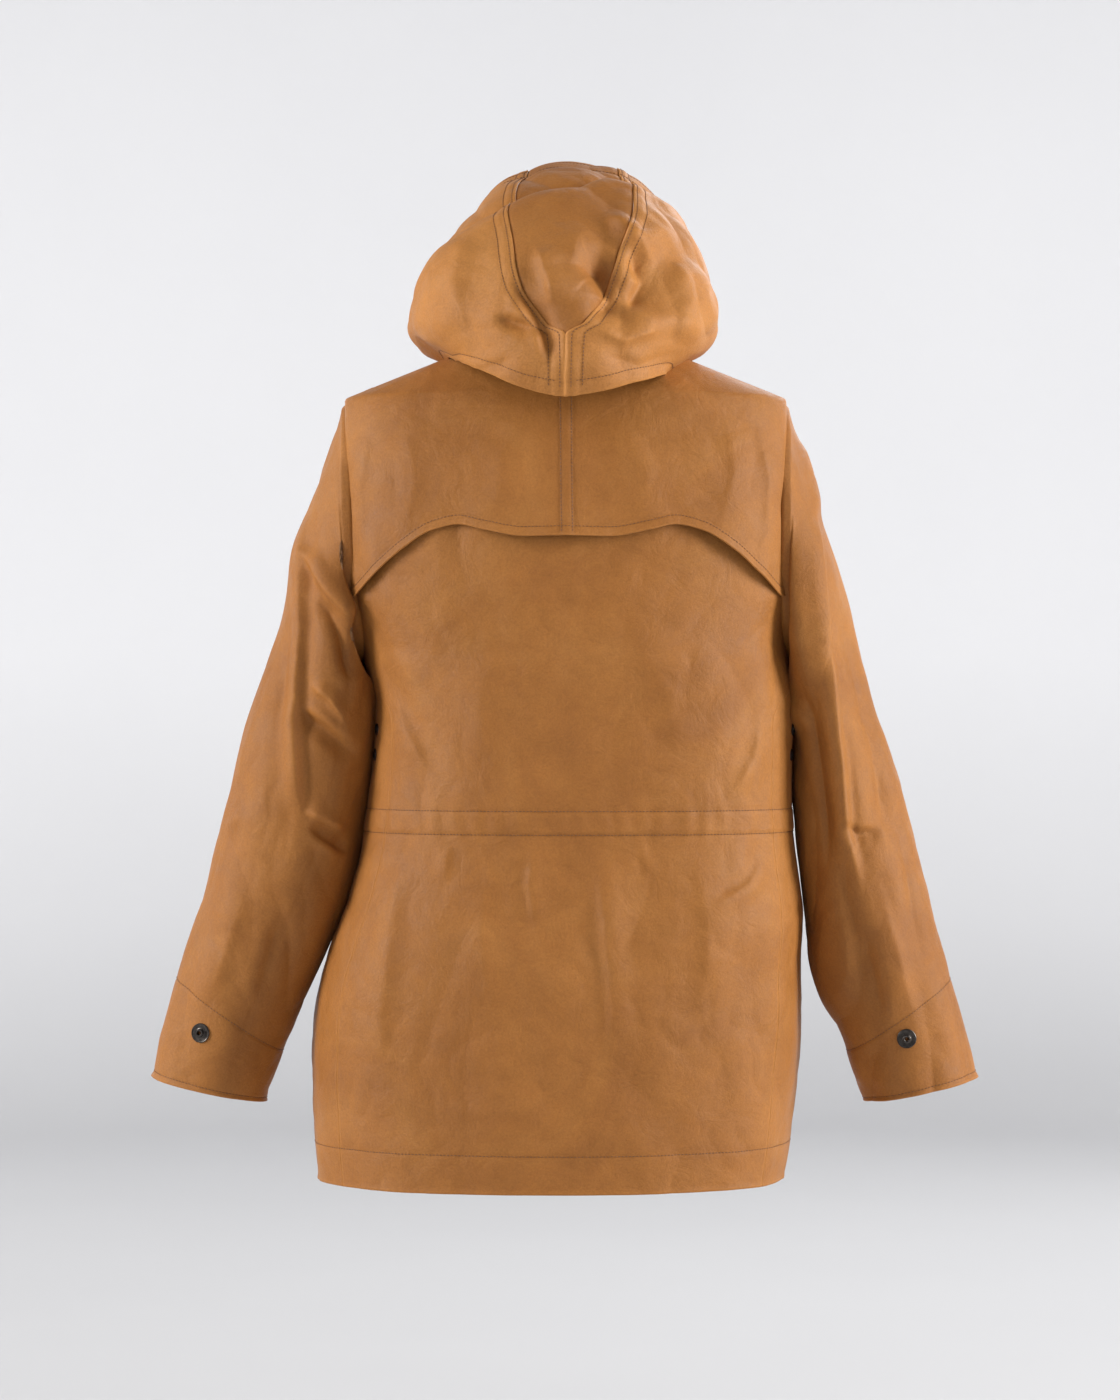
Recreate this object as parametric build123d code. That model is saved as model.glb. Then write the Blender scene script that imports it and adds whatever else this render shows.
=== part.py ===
"""A hooded storm coat with a back cape, hanging as it does on a dress form, modelled in millimetres.

+X is the wearer's left, +Y the back, +Z up. The origin is the middle of the neck opening at the height of the
back neck seam. Cloth panels are thin curved solids; snaps, eyelets and the zip are real small hardware.
"""
from build123d import *
import os
from math import asin, atan2, cos, degrees, pi, radians, sin, sqrt

os.makedirs("parts", exist_ok=True)

# ---------------------------------------------------------------- driving dimensions
SHELL = 2.4             # shell cloth, lining and the air between them
SEAM_GAP = 0.6          # room between two panels that are sewn edge to edge
HEM_Z = -786.0          # back length from the neck seam
ARMPIT = (206.0, -285.0)        # x, z of the lowest point of the armhole
SHOULDER = (212.0, -35.0)       # x, z of the shoulder point
NECK_SIDE = (75.0, 20.0)        # x, z where the shoulder line meets the neck
ARMHOLE_HALF_DEPTH = 72.0
SQUARENESS = (2.4, 3.2)         # back, front: 2 is an ellipse and more is flatter
SIDE_SEAM = radians(61.6)       # from the middle of the back, round to the side seam
FRONT_EDGE = 9.0        # half the gap between the fronts, where the zip shows
NECK_HOLE = (73.0, 75.0, -4.0)  # half width, half depth, centre y
YOKE_SEAM_Z = -166.0    # under the cape, where the back panel meets the yoke

# height, half width, back depth, front depth of the coat
BODY = [
    (-786, 226, 139, 141),
    (-740, 232, 141, 141),
    (-650, 238, 143, 141),
    (-560, 229, 142, 141),
    (-455, 209, 136, 141),
    (-370, 203, 136, 141),
    (-345, 204, 137, 141),
    (-325, 205, 137, 141),
    (-305, 205, 138, 141),
    (-285, 206, 138, 141),
    (-230, 205, 137, 141),
    (-166, 205, 134, 136),
    (-110, 208, 128, 112),
    (-48, 211, 111, 76),
    (-35, 212, 106, 70),
    (-14, 157, 94, 61),
    (14, 87, 77, 53),
]

# one sleeve, as seen from behind: outer edge, inner edge, half depth
SLEEVE = [
    ((213.5, -34), (208, -286), 72),
    ((235, -101), (211, -338), 74),
    ((264, -197), (218, -420), 75),
    ((293, -298), (229, -500), 71),
    ((321, -399), (243, -565), 66),
    ((348, -500), (257, -622), 61),
    ((375, -594), (274, -664), 56),
    ((401, -689), (290, -713), 52),
]
CUFF_DEPTH = 98.0       # the facing inside the cuff
STUD_FROM_EDGE = 56.0
CUFF_STUD_TURN = {"left": 19.0, "right": -4.0}   # degrees from the sleeve's back towards its outside
CUFF_SOCKET_TURN = 118.0                         # the mating half, further round towards the front

# the hood is a fan of arches that all pass near the chin; angle from upright, arch height, half width
CHIN = (-86.0, -52.0)   # y, z
HOOD = [
    (9, 258, 115),
    (20, 256, 127),
    (32, 258, 138),
    (45, 268, 147),
    (57, 279, 149),
    (69, 281, 145),
    (80, 274, 136),
    (88, 256, 124),
    (93, 228, 112),
]
HOOD_FOOT = 26.0        # half the gap between the hood's front corners
HOOD_CENTRE = [(9, 38), (32, 48), (45, 50), (57, 42), (69, 26), (77, 6)]    # half width of the middle panel
HOOD_FOLD_ROOM = 0.8    # between the hood and the facing inside its edge
HOOD_FOLD_Z = 10.0      # the hood gives here when it is pushed back; below, it is sewn to the neck

ZIP_TOP, ZIP_BOTTOM = -64.0, -722.0
SLIDER_Z = -242.0       # the zip is drawn down to the breast
TOOTH_PITCH = 4.2
PLACKET_TOP, PLACKET_BOTTOM = -231.0, -778.0
PLACKET_HINGE_X, PLACKET_FREE_X = 38.0, -34.0
PLACKET_LIFT = 6.4      # room under it for the zip and the snaps
PLACKET_SNAP_X = -21.0
PLACKET_SNAPS = 6
PLACKET_SNAP_Z = (-745.0, -300.0)

POCKET_X = (74.0, 194.0)        # nearest and furthest from the zip
POCKET_Z = (-700.0, -496.0)
POCKET_ROOM = 11.0
FLAP_TOP = -466.0
FLAP_BOTTOM = -531.0
FLAP_SNAP_DROP = 50.0

SNAP_R = 9.3            # a large jacket snap
POST_R = 3.9
EYELET_HEIGHTS = (-354.0, -378.0)
EYELET_TURN = radians(78)
EYELET_HOLE_R = 2.6
EYELET_BARREL_R = 3.3


# ---------------------------------------------------------------- curves
def between(table, x, column=1):
    """Read the table at x, straight between its rows. The first column rises."""
    x = min(max(x, table[0][0]), table[-1][0])
    i = max(k for k in range(len(table) - 1) if table[k][0] <= x)
    low, high = table[i], table[i + 1]
    share = (x - low[0]) / (high[0] - low[0])
    return low[column] + (high[column] - low[column]) * share


def stations(table, low, high):
    """The table's rows between low and high, and the two ends: where a panel changes slope."""
    return [low] + [row[0] for row in table if low < row[0] < high] + [high]


def body_width(z):
    """Half the width at height z: the side of the coat, the armhole or the shoulder line."""
    if z <= SHOULDER[1]:
        return between(BODY, z)
    along = (z - SHOULDER[1]) / (NECK_SIDE[1] - SHOULDER[1])
    return SHOULDER[0] + (NECK_SIDE[0] - SHOULDER[0]) * along


def armhole_reach(z):
    """How far the armhole's edge lies behind, and before, the shoulder line at height z."""
    middle = (ARMPIT[1] + SHOULDER[1]) / 2
    half = (SHOULDER[1] - ARMPIT[1]) / 2
    return ARMHOLE_HALF_DEPTH * sqrt(max(0.0, 1 - ((z - middle) / half) ** 2))


def body_point(z, turn):
    """A point of the coat's outside at height z; turn is 0 at the middle of the back and pi at the front."""
    width = body_width(z)
    edge = armhole_reach(z)
    depth = between(BODY, z, 2 if cos(turn) >= 0 else 3)
    power = SQUARENESS[0] if cos(turn) >= 0 else SQUARENESS[1]
    share = max(0.0, 1 - abs(sin(turn)) ** power) ** (1 / power)
    reach = edge + (max(depth, edge) - edge) * share
    return Vector(width * sin(turn), reach if cos(turn) >= 0 else -reach, z)


def side_seam(z):
    """The side seam's turn: it runs straight up, then forward into the armhole."""
    rise = min(max((z + 345) / 62, 0.0), 1.0)
    return SIDE_SEAM + (pi / 2 - SIDE_SEAM) * rise * rise * (3 - 2 * rise)


def front_turn(z, x):
    """The turn of the front's point that lies x from the middle; a positive x is the wearer's left."""
    return pi - asin(x / body_width(z))


SLEEVE_TABLE = [(k / (len(SLEEVE) - 1), *o, *i, depth) for k, (o, i, depth) in enumerate(SLEEVE)]


def sleeve_point(side, s, turn):
    """A point of a sleeve; s is 0 at the armhole and 1 at the cuff, turn is 0 outside and pi/2 behind."""
    ox, oz, ix, iz, depth = (between(SLEEVE_TABLE, s, column) for column in range(1, 6))
    middle = Vector((ox + ix) / 2, 0, (oz + iz) / 2)
    half = Vector((ox - ix) / 2, 0, (oz - iz) / 2)
    p = middle + half * cos(turn) + Vector(0, depth * sin(turn), 0)
    return Vector(side * p.X, p.Y, p.Z)


def hood_point(angle, turn):
    """A point of the hood on the arch at that angle in degrees; turn is 0 at the top and pi at the chin."""
    height = between(HOOD, angle)
    out = height / 2 * (1 + cos(turn))
    a = radians(angle)
    return Vector(between(HOOD, angle, 2) * sin(turn), CHIN[0] + out * sin(a), CHIN[1] + out * cos(a))


# ---------------------------------------------------------------- cloth solids
def strip(point, places, span, inside, outside, count=11):
    """A thin solid along a row of places.

    At each place it follows the curve point(station, turn) over the span, thickened in the curve's own plane.
    """
    faces = []
    for station in places:
        first, last = span(station)
        turns = [first + (last - first) * k / (count - 1) for k in range(count)]
        low, high = (level(station) if callable(level) else level for level in (inside, outside))
        inner, outer = [], []
        plane = plane_normal(point, station)
        for t in turns:
            here = point(station, t)
            step = 1e-3 if t < (first + last) / 2 else -1e-3
            along = (point(station, t + step) - here).normalized() * (1 if step > 0 else -1)
            away = along.cross(plane)
            if away.dot(here - middle_of(point, station)) < 0:
                away = -away
            inner.append(here + away * low)
            outer.append(here + away * high)
        edges = [
            Spline(outer),
            Line(outer[-1], inner[-1]),
            Spline(list(reversed(inner))),
            Line(inner[0], outer[0]),
        ]
        faces.append(Face(Wire(edges)))
    return loft(faces, ruled=True)


def plane_normal(point, station):
    """The normal of the plane that the curve at a station lies in."""
    a, b, c = (point(station, t) for t in (0.3, 1.9, 2.9))
    return (b - a).cross(c - a).normalized()


def middle_of(point, station):
    """The middle of the curve at a station."""
    return (point(station, pi / 2) + point(station, -pi / 2)) / 2


def spread(low, high, count):
    """Evenly spaced numbers from low to high."""
    return [low + (high - low) * k / (count - 1) for k in range(count)]


def body_strip(low, high, span, inside, outside, count=11):
    return strip(body_point, stations(BODY, low, high), span, inside, outside, count)


def span_x(x_first, x_last):
    """A span of the front between two distances from the middle."""
    return lambda z: (front_turn(z, x_first), front_turn(z, x_last))


def largest(shape):
    return max(shape.solids(), key=lambda solid: solid.volume)


def mirrored(shape):
    """The same piece on the other side of the coat."""
    return mirror(shape, Plane.YZ)


def save(name, *solids):
    shape = solids[0] if len(solids) == 1 else Compound(children=list(solids))
    export_step(shape, f"parts/{name}.step")


NECK_CUT = Pos(0, NECK_HOLE[2], -120) * extrude(Ellipse(NECK_HOLE[0], NECK_HOLE[1]), 240)
TOP_Z = 14.0            # the top of the shoulders, inside the neck opening

# ---------------------------------------------------------------- body panels
seam_turn = SEAM_GAP / 200


def back_span(z):
    edge = side_seam(z) if z < ARMPIT[1] else pi / 2
    return (-edge + seam_turn, edge - seam_turn)


def front_span(z):
    edge = side_seam(z) if z < ARMPIT[1] else pi / 2 + 0.004
    return (edge + seam_turn, front_turn(z, FRONT_EDGE))


back = body_strip(HEM_Z, YOKE_SEAM_Z - SEAM_GAP, back_span, -SHELL, 0, 33)
save("back_panel", back)
yoke = body_strip(YOKE_SEAM_Z, TOP_Z, back_span, -SHELL, 0, 33) - NECK_CUT
save("back_yoke", largest(yoke))


def eyelet_plane(z):
    """A plane on the coat's left flank, facing outwards, where an underarm eyelet sits."""
    here = body_point(z, EYELET_TURN)
    along = body_point(z, EYELET_TURN + 0.01) - body_point(z, EYELET_TURN - 0.01)
    return Plane(here, z_dir=along.cross(Vector(0, 0, -1)))


front = body_strip(HEM_Z, TOP_Z, front_span, -SHELL, 0, 17) - NECK_CUT
eyelet_planes = [eyelet_plane(z) for z in EYELET_HEIGHTS]
for plane in eyelet_planes:
    front -= plane * Cylinder(EYELET_BARREL_R + 0.3, 20)
front = largest(front)
save("left_front_panel", front)
save("right_front_panel", mirrored(front))

# the cape: two halves joined at the middle of the back, free along its lower edge
CAPE_HEM = [(-1, -188), (70, -181), (112, -180), (150, -202), (222, -246), (240, -300), (-1, -300)]
CAPE_LIFT = [(-285, 6.5), (-230, 6.0), (-166, 4.0), (-110, 3.0), (-60, 3.0), (TOP_Z, 3.2)]
CAPE_SIDE = 203.0       # the cape is sewn into the armhole here
cape = body_strip(
    -285,
    TOP_Z,
    lambda z: (0.002, min(asin(min(1.0, CAPE_SIDE / body_width(z))), 1.5) - 0.004),
    lambda z: between(CAPE_LIFT, z),
    lambda z: between(CAPE_LIFT, z) + 2.0,
    17,
)
cape_cut = Plane.XZ * extrude(make_face(Polyline(*CAPE_HEM, close=True)), 200, dir=(0, 0, -1))
cape = largest(cape - NECK_CUT - cape_cut)
save("storm_cape_left", cape)
save("storm_cape_right", mirrored(cape))

# bands sewn inside: hem facings and the waist channel, each a back and two front lengths
INSIDE = -SHELL - 0.8
BAND_GAP = 0.02
BAND_END_X = 78.0       # the bands stop beside the front facings
WAIST_CHANNEL = (-453.0, -429.0)


def inner_band(low, high, thick):
    back_band = body_strip(low, high, lambda z: (-SIDE_SEAM + BAND_GAP, SIDE_SEAM - BAND_GAP),
                           INSIDE - thick, INSIDE, 17)
    front_band = body_strip(low, high, lambda z: (SIDE_SEAM + BAND_GAP, front_turn(z, BAND_END_X)),
                            INSIDE - thick, INSIDE, 17)
    return back_band, front_band, mirrored(front_band)


save("hem_facings", *inner_band(HEM_Z + 1, HEM_Z + 41, 1.0))
save("waist_channel", *inner_band(*WAIST_CHANNEL, 1.2))

FACING_TOP = -200.0
facing = body_strip(PLACKET_BOTTOM, FACING_TOP, span_x(BAND_END_X - 2, 24), INSIDE - 1.2, INSIDE, 5)
save("left_front_facing", facing)
save("right_front_facing", mirrored(facing))

# the stand collar inside the hood
COLLAR_TOP = 42.0
collar_ring = extrude(
    Ellipse(NECK_HOLE[0] - 0.6, NECK_HOLE[1] - 0.6) - Ellipse(NECK_HOLE[0] - 3.0, NECK_HOLE[1] - 3.0), 130
)
collar = Pos(0, NECK_HOLE[2], -66) * collar_ring
neck_slope = degrees(atan2(58, 2 * NECK_HOLE[1]))
keep_above = Pos(0, NECK_HOLE[2], -28) * Rot(neck_slope, 0, 0) * Pos(0, 0, 50) * Box(300, 300, 100)
collar = collar & keep_above & (Pos(0, 0, COLLAR_TOP - 150) * Box(300, 300, 300))
collar = largest(collar - Pos(0, -80, 0) * Box(34, 60, 300))
save("stand_collar", collar)

LOOP_Z = 6.0
LOOP_HALF = 29.0
COLLAR_WALL = 3.4               # from the neck hole's edge to the inside of the collar


def collar_inside(x):
    """The y of the collar's inner face behind the neck, x from the middle."""
    return NECK_HOLE[2] + (NECK_HOLE[1] - COLLAR_WALL) * sqrt(1 - (x / (NECK_HOLE[0] - COLLAR_WALL)) ** 2)


loop_back = collar_inside(LOOP_HALF + 4)
loop_bar = Pos(0, loop_back - 7.4, LOOP_Z) * Box(2 * LOOP_HALF + 8, 1.4, 9)
loop_ends = [Pos(x, loop_back - 3.6, LOOP_Z) * Box(8, 6.6, 9) for x in (-LOOP_HALF, LOOP_HALF)]
save("hanger_loop", loop_bar + loop_ends[0] + loop_ends[1])
save("neck_label", Pos(0, collar_inside(23) - 0.8, LOOP_Z - 16) * Box(46, 0.8, 20))

# ---------------------------------------------------------------- sleeves
OUTER_SEAM = radians(112)       # the back and front seams between upper and under sleeve
SLEEVE_START = 0.012            # just clear of the armhole


def sleeve(side):
    def point(s, turn):
        return sleeve_point(side, s, turn)

    def upper_span(s):
        return (-OUTER_SEAM + 0.008, OUTER_SEAM - 0.008)

    def under_span(s):
        return (OUTER_SEAM + 0.008, 2 * pi - OUTER_SEAM - 0.008)

    return (
        strip(point, stations(SLEEVE_TABLE, SLEEVE_START, 1), upper_span, -SHELL, 0, 17),
        strip(point, stations(SLEEVE_TABLE, SLEEVE_START, 1), under_span, -SHELL, 0, 13),
        strip(point, [0.862, 0.998], lambda s: (-pi + 0.03, pi - 0.03), INSIDE - 1.2, INSIDE, 25),
    )


def sleeve_plane(side, turn_degrees, from_edge):
    """A plane on the outside of a sleeve, facing out, that far up from the cuff's edge."""
    turn = radians(turn_degrees)
    edge = sleeve_point(side, 1.0, turn)
    s = 1.0
    while (sleeve_point(side, s, turn) - edge).length < from_edge:
        s -= 0.0005
    here = sleeve_point(side, s, turn)
    round_it = sleeve_point(side, s, turn + 0.01) - sleeve_point(side, s, turn - 0.01)
    along = sleeve_point(side, s + 0.01, turn) - sleeve_point(side, s - 0.01, turn)
    away = round_it.cross(along)
    if away.dot(here - (sleeve_point(side, s, 0) + sleeve_point(side, s, pi)) / 2) < 0:
        away = -away
    return Plane(here, z_dir=away)


# ---------------------------------------------------------------- snaps and eyelets, made on z = 0 facing +z
def turned(*points):
    """A solid of revolution about z from the (radius, height) corners of half its section."""
    return revolve(Plane.XZ * make_face(Polyline(*points, close=True)), Axis.Z)


def snap_stud():
    """A dished disc with a hollow raised post, riveted through the cloth."""
    return turned((2.0, 0.3), (SNAP_R - 1, 0.3), (SNAP_R, 0.6), (SNAP_R, 1.2), (SNAP_R - 0.6, 1.7),
                  (SNAP_R - 1.4, 1.4), (5.0, 1.2), (POST_R, 1.7), (POST_R, 4.7), (POST_R - 0.5, 5.1),
                  (2.5, 5.1), (2.0, 4.7))


def snap_socket():
    """A ring with a hole that takes the post, seen from its open side."""
    return turned((POST_R + 0.3, 0.4), (SNAP_R - 1, 0.4), (SNAP_R - 0.3, 0.8), (SNAP_R - 0.3, 1.6),
                  (SNAP_R - 1.2, 2.2), (POST_R + 2.6, 2.2), (POST_R + 1.6, 3.6), (POST_R + 0.3, 3.6))


def snap_rivet():
    """The plain rivet head on the far side of the cloth."""
    return turned((0, -1.6), (6.4, -1.6), (7.0, -1.2), (7.0, -0.3), (0, -0.3))


def snap_cap():
    """The domed cap that is seen when the snap is closed."""
    return turned((0, 0.3), (SNAP_R - 0.3, 0.3), (SNAP_R, 0.8), (SNAP_R - 0.4, 1.5), (6.5, 2.2), (3.2, 2.6),
                  (0, 2.7))


def eyelet():
    """A rolled metal ring with a barrel through the cloth."""
    return turned((EYELET_HOLE_R, -SHELL - 1.3), (EYELET_BARREL_R, -SHELL - 1.3), (EYELET_BARREL_R, 0.4),
                  (5.6, 0.4), (5.6, 0.9), (4.6, 1.4), (EYELET_HOLE_R + 0.5, 1.4), (EYELET_HOLE_R, 0.8))


def washer():
    """The ring that the eyelet is closed against, inside the coat."""
    return turned((EYELET_BARREL_R + 0.1, -SHELL - 1.3), (5.8, -SHELL - 1.3), (5.8, -SHELL - 0.6),
                  (EYELET_BARREL_R + 0.1, -SHELL - 0.6))


def inside_of(plane, depth):
    return Plane(plane.origin - plane.z_dir * depth, z_dir=plane.z_dir)


CUFF_WALL = -INSIDE + 1.6       # shell and facing, where the rivets pass
for name, side in (("left", 1), ("right", -1)):
    upper, under, cuff = sleeve(side)
    save(f"{name}_sleeve_upper", upper)
    save(f"{name}_sleeve_under", under)
    save(f"{name}_cuff_facing", cuff)
    stud_plane = sleeve_plane(side, 90 - CUFF_STUD_TURN[name], STUD_FROM_EDGE)
    socket_plane = sleeve_plane(side, 90 - CUFF_SOCKET_TURN, STUD_FROM_EDGE)
    save(f"{name}_cuff_stud", stud_plane * snap_stud())
    save(f"{name}_cuff_socket", socket_plane * snap_socket())
    rivets = [inside_of(plane, CUFF_WALL) * snap_rivet() for plane in (stud_plane, socket_plane)]
    save(f"{name}_cuff_rivets", *rivets)

mirror_planes = [Plane((-p.origin.X, p.origin.Y, p.origin.Z), z_dir=(-p.z_dir.X, p.z_dir.Y, p.z_dir.Z))
                 for p in eyelet_planes]
save("underarm_eyelets", *[p * eyelet() for p in eyelet_planes + mirror_planes])
save("underarm_washers", *[p * washer() for p in eyelet_planes + mirror_planes])

# ---------------------------------------------------------------- hood
def hood_foot(angle):
    """The turn where an arch ends, beside the chin."""
    return pi - asin(HOOD_FOOT / between(HOOD, angle, 2))


def centre_turn(angle):
    return asin(between(HOOD_CENTRE, angle) / between(HOOD, angle, 2)) if angle <= 77 else 0.0


# the room that the shoulders and the cape take, which the hood rests on
ROOM_OVER_SHOULDERS = 10.5


def shoulder_section(z):
    """A level outline of the shoulders, grown by the room that the cape takes."""
    swell = 1 + ROOM_OVER_SHOULDERS / body_width(z)
    return [Vector(p.X * swell, p.Y * swell, z) for p in (body_point(z, pi * k / 20) for k in range(40))]


room_z = stations(BODY, -110, TOP_Z)
shoulder_room = loft([Face(Wire([Spline(shoulder_section(z), periodic=True)])) for z in room_z], ruled=True)
above_fold = Pos(0, 0, HOOD_FOLD_Z + 200) * Box(500, 500, 400)
below_fold = Pos(0, 0, HOOD_FOLD_Z - SEAM_GAP - 200) * Box(500, 500, 400)
centre_panel = strip(hood_point, stations(HOOD, 9, 77),
                     lambda a: (-centre_turn(a) + 0.004, centre_turn(a) - 0.004), -SHELL, 0, 9)
save("hood_centre_panel", centre_panel)
side_panel = strip(hood_point, stations(HOOD, 9, 93),
                   lambda a: (centre_turn(a) + 0.004, hood_foot(a)), -SHELL, 0, 21)
side_panel = side_panel - shoulder_room
crown = largest(side_panel & above_fold)
neck_band = largest(side_panel & below_fold)
save("hood_left_panel", crown)
save("hood_right_panel", mirrored(crown))
save("hood_neck_band", neck_band, mirrored(neck_band))
FACING_IN = -SHELL - HOOD_FOLD_ROOM
rim = strip(hood_point, [9, 20], lambda a: (-hood_foot(a) + 0.1, hood_foot(a) - 0.1),
            FACING_IN - 1.4, FACING_IN, 41)
save("hood_edge_facing", largest(rim & above_fold))

# ---------------------------------------------------------------- zip, on the front between the two fronts
FRONT_Y = -between(BODY, -300, 3)        # the front hangs straight from the chest down


def front_plane(x, z, lift):
    """A plane on the front, facing out, x from the middle at height z and lifted off the cloth."""
    here = body_point(z, front_turn(z, x))
    along = body_point(z, front_turn(z, x) + 0.01) - body_point(z, front_turn(z, x) - 0.01)
    away = along.cross(Vector(0, 0, 1)).normalized()
    if away.Y > 0:
        away = -away
    return Plane(here + away * lift, z_dir=away)


tape = body_strip(ZIP_BOTTOM, ZIP_TOP, span_x(20, 2.6), INSIDE - 0.9, INSIDE, 5)
save("left_zip_tape", tape)
save("right_zip_tape", mirrored(tape))

TOOTH = (3.0, 2.4, 1.7)         # reach across, thickness, height along the zip
CHAIN_IN = 1.4                  # the middle of the chain, behind the front's outside
POST_HALF = 0.7                 # the slider's post runs between the two rows


def tooth_at(side, z):
    """One moulded tooth, clipped to its tape's edge."""
    here = body_point(z, front_turn(z, 0.0))
    return Pos(side * (POST_HALF + 0.3 + TOOTH[0] / 2), here.Y + CHAIN_IN, z) * Box(*TOOTH)


teeth_count = int((ZIP_TOP - 4 - (ZIP_BOTTOM + 12)) / TOOTH_PITCH)
for name, side in (("left", 1), ("right", -1)):
    start = ZIP_BOTTOM + 12 + (TOOTH_PITCH / 2 if side > 0 else 0)
    save(f"{name}_zip_teeth", *[tooth_at(side, start + k * TOOTH_PITCH) for k in range(teeth_count)])

chain_y = FRONT_Y + CHAIN_IN
save("zip_retainer_box", Pos(0, chain_y - 1.2, ZIP_BOTTOM + 5) * Box(10, 4.0, 9))
PIVOT_Z = SLIDER_Z + 1.0        # the round stud on the slider, which the pull swings on
PULL_LENGTH = 33.0


def disc(radius, z, front, back):
    """A disc that faces forward, between two depths from the middle of the chain."""
    return Pos(0, chain_y + (front + back) / 2, z) * Rot(90, 0, 0) * Cylinder(radius, back - front)


def pull_bar(width, length, middle):
    """A flat bar of the pull, its middle that far below the stud."""
    return Pos(0, chain_y - 3.65, PIVOT_Z - middle) * Box(width, 0.9, length)


plates = [Pos(0, chain_y + y, SLIDER_Z) * Box(9.5, 1.2, 14) for y in (-2.4, 3.6)]
slider_post = Pos(0, chain_y + 0.6, SLIDER_Z + 5) * Box(2 * POST_HALF, 6.4, 3.6)
pivot_stud = disc(1.3, PIVOT_Z, -4.4, -2.9) + disc(2.3, PIVOT_Z, -5.2, -4.3)
save("zip_slider", largest(plates[0] + plates[1] + slider_post + pivot_stud))

pull_ring = disc(3.6, PIVOT_Z, -4.1, -3.2) - disc(1.6, PIVOT_Z, -4.2, -3.1)
pull_tab = pull_bar(8.4, 22, PULL_LENGTH - 11) - disc(2.0, PIVOT_Z - PULL_LENGTH + 5, -4.2, -3.1)
save("zip_pull", pull_ring + pull_bar(5.0, 11, 2.6 + 5.5) + pull_tab)

# ---------------------------------------------------------------- front placket, closed over the zip by snaps
placket = body_strip(PLACKET_BOTTOM, PLACKET_TOP, span_x(PLACKET_HINGE_X, PLACKET_FREE_X),
                     PLACKET_LIFT, PLACKET_LIFT + 2.0, 7)
save("placket", placket)
snap_heights = spread(*PLACKET_SNAP_Z, PLACKET_SNAPS)
stud_planes = [front_plane(PLACKET_SNAP_X, z, 0) for z in snap_heights]
save("front_snap_studs", *[p * snap_stud() for p in stud_planes])
save("front_snap_rivets", *[inside_of(p, CUFF_WALL) * snap_rivet() for p in stud_planes])
cap_planes = [front_plane(PLACKET_SNAP_X, z, PLACKET_LIFT + 2.0) for z in snap_heights]
save("placket_snap_caps", *[p * snap_cap() for p in cap_planes])
socket_planes = [Plane(p.origin - p.z_dir * 2.0, z_dir=-p.z_dir) for p in cap_planes]
save("placket_snap_sockets", *[p * snap_socket() for p in socket_planes])

# ---------------------------------------------------------------- pockets, each a patch and a flap over its mouth
pocket_span = span_x(POCKET_X[1], POCKET_X[0])
pocket_outer = body_strip(*POCKET_Z, pocket_span, 1.0, POCKET_ROOM + 2.4, 9)
pocket_inner = body_strip(POCKET_Z[0] + 3, POCKET_Z[1] + 20, span_x(POCKET_X[1] - 2.2, POCKET_X[0] + 2.8),
                          -2, POCKET_ROOM, 9)
pocket = largest(pocket_outer - pocket_inner)
save("left_pocket", pocket)
save("right_pocket", mirrored(pocket))

FLAP_LIFT = POCKET_ROOM + 2.4 + 7.2
flap = body_strip(FLAP_BOTTOM, FLAP_TOP, span_x(POCKET_X[1] + 5, POCKET_X[0] - 5),
                  FLAP_LIFT, FLAP_LIFT + 2.0, 9)
flap_x = [POCKET_X[0] + 22, POCKET_X[1] - 38]
flap_z = FLAP_TOP - FLAP_SNAP_DROP
pocket_studs = [front_plane(x, flap_z, POCKET_ROOM + 2.9) for x in flap_x]
flap_caps = [front_plane(x, flap_z, FLAP_LIFT + 2.3) for x in flap_x]
flap_sockets = [Plane(p.origin - p.z_dir * 3.0, z_dir=-p.z_dir) for p in flap_caps]
for name, keep in (("left", lambda s: s), ("right", mirrored)):
    save(f"{name}_pocket_flap", keep(flap))
    save(f"{name}_pocket_studs", *[keep(p * snap_stud()) for p in pocket_studs])
    save(f"{name}_flap_snap_caps", *[keep(p * snap_cap()) for p in flap_caps])
    save(f"{name}_flap_snap_sockets", *[keep(p * snap_socket()) for p in flap_sockets])
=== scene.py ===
"""The looks of the hooded storm coat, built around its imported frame. Sizes in the tables are millimetres.

+X is the wearer's left, +Y the back, +Z up. Every cloth piece is a grid of points on a smooth surface. It then
gets its seams and folds as displacement, its thickness, its stitches and a woven, waxed material.
"""
from math import atan2, cos, pi, radians, sin

import bpy
import numpy as np
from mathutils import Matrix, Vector, noise


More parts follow.
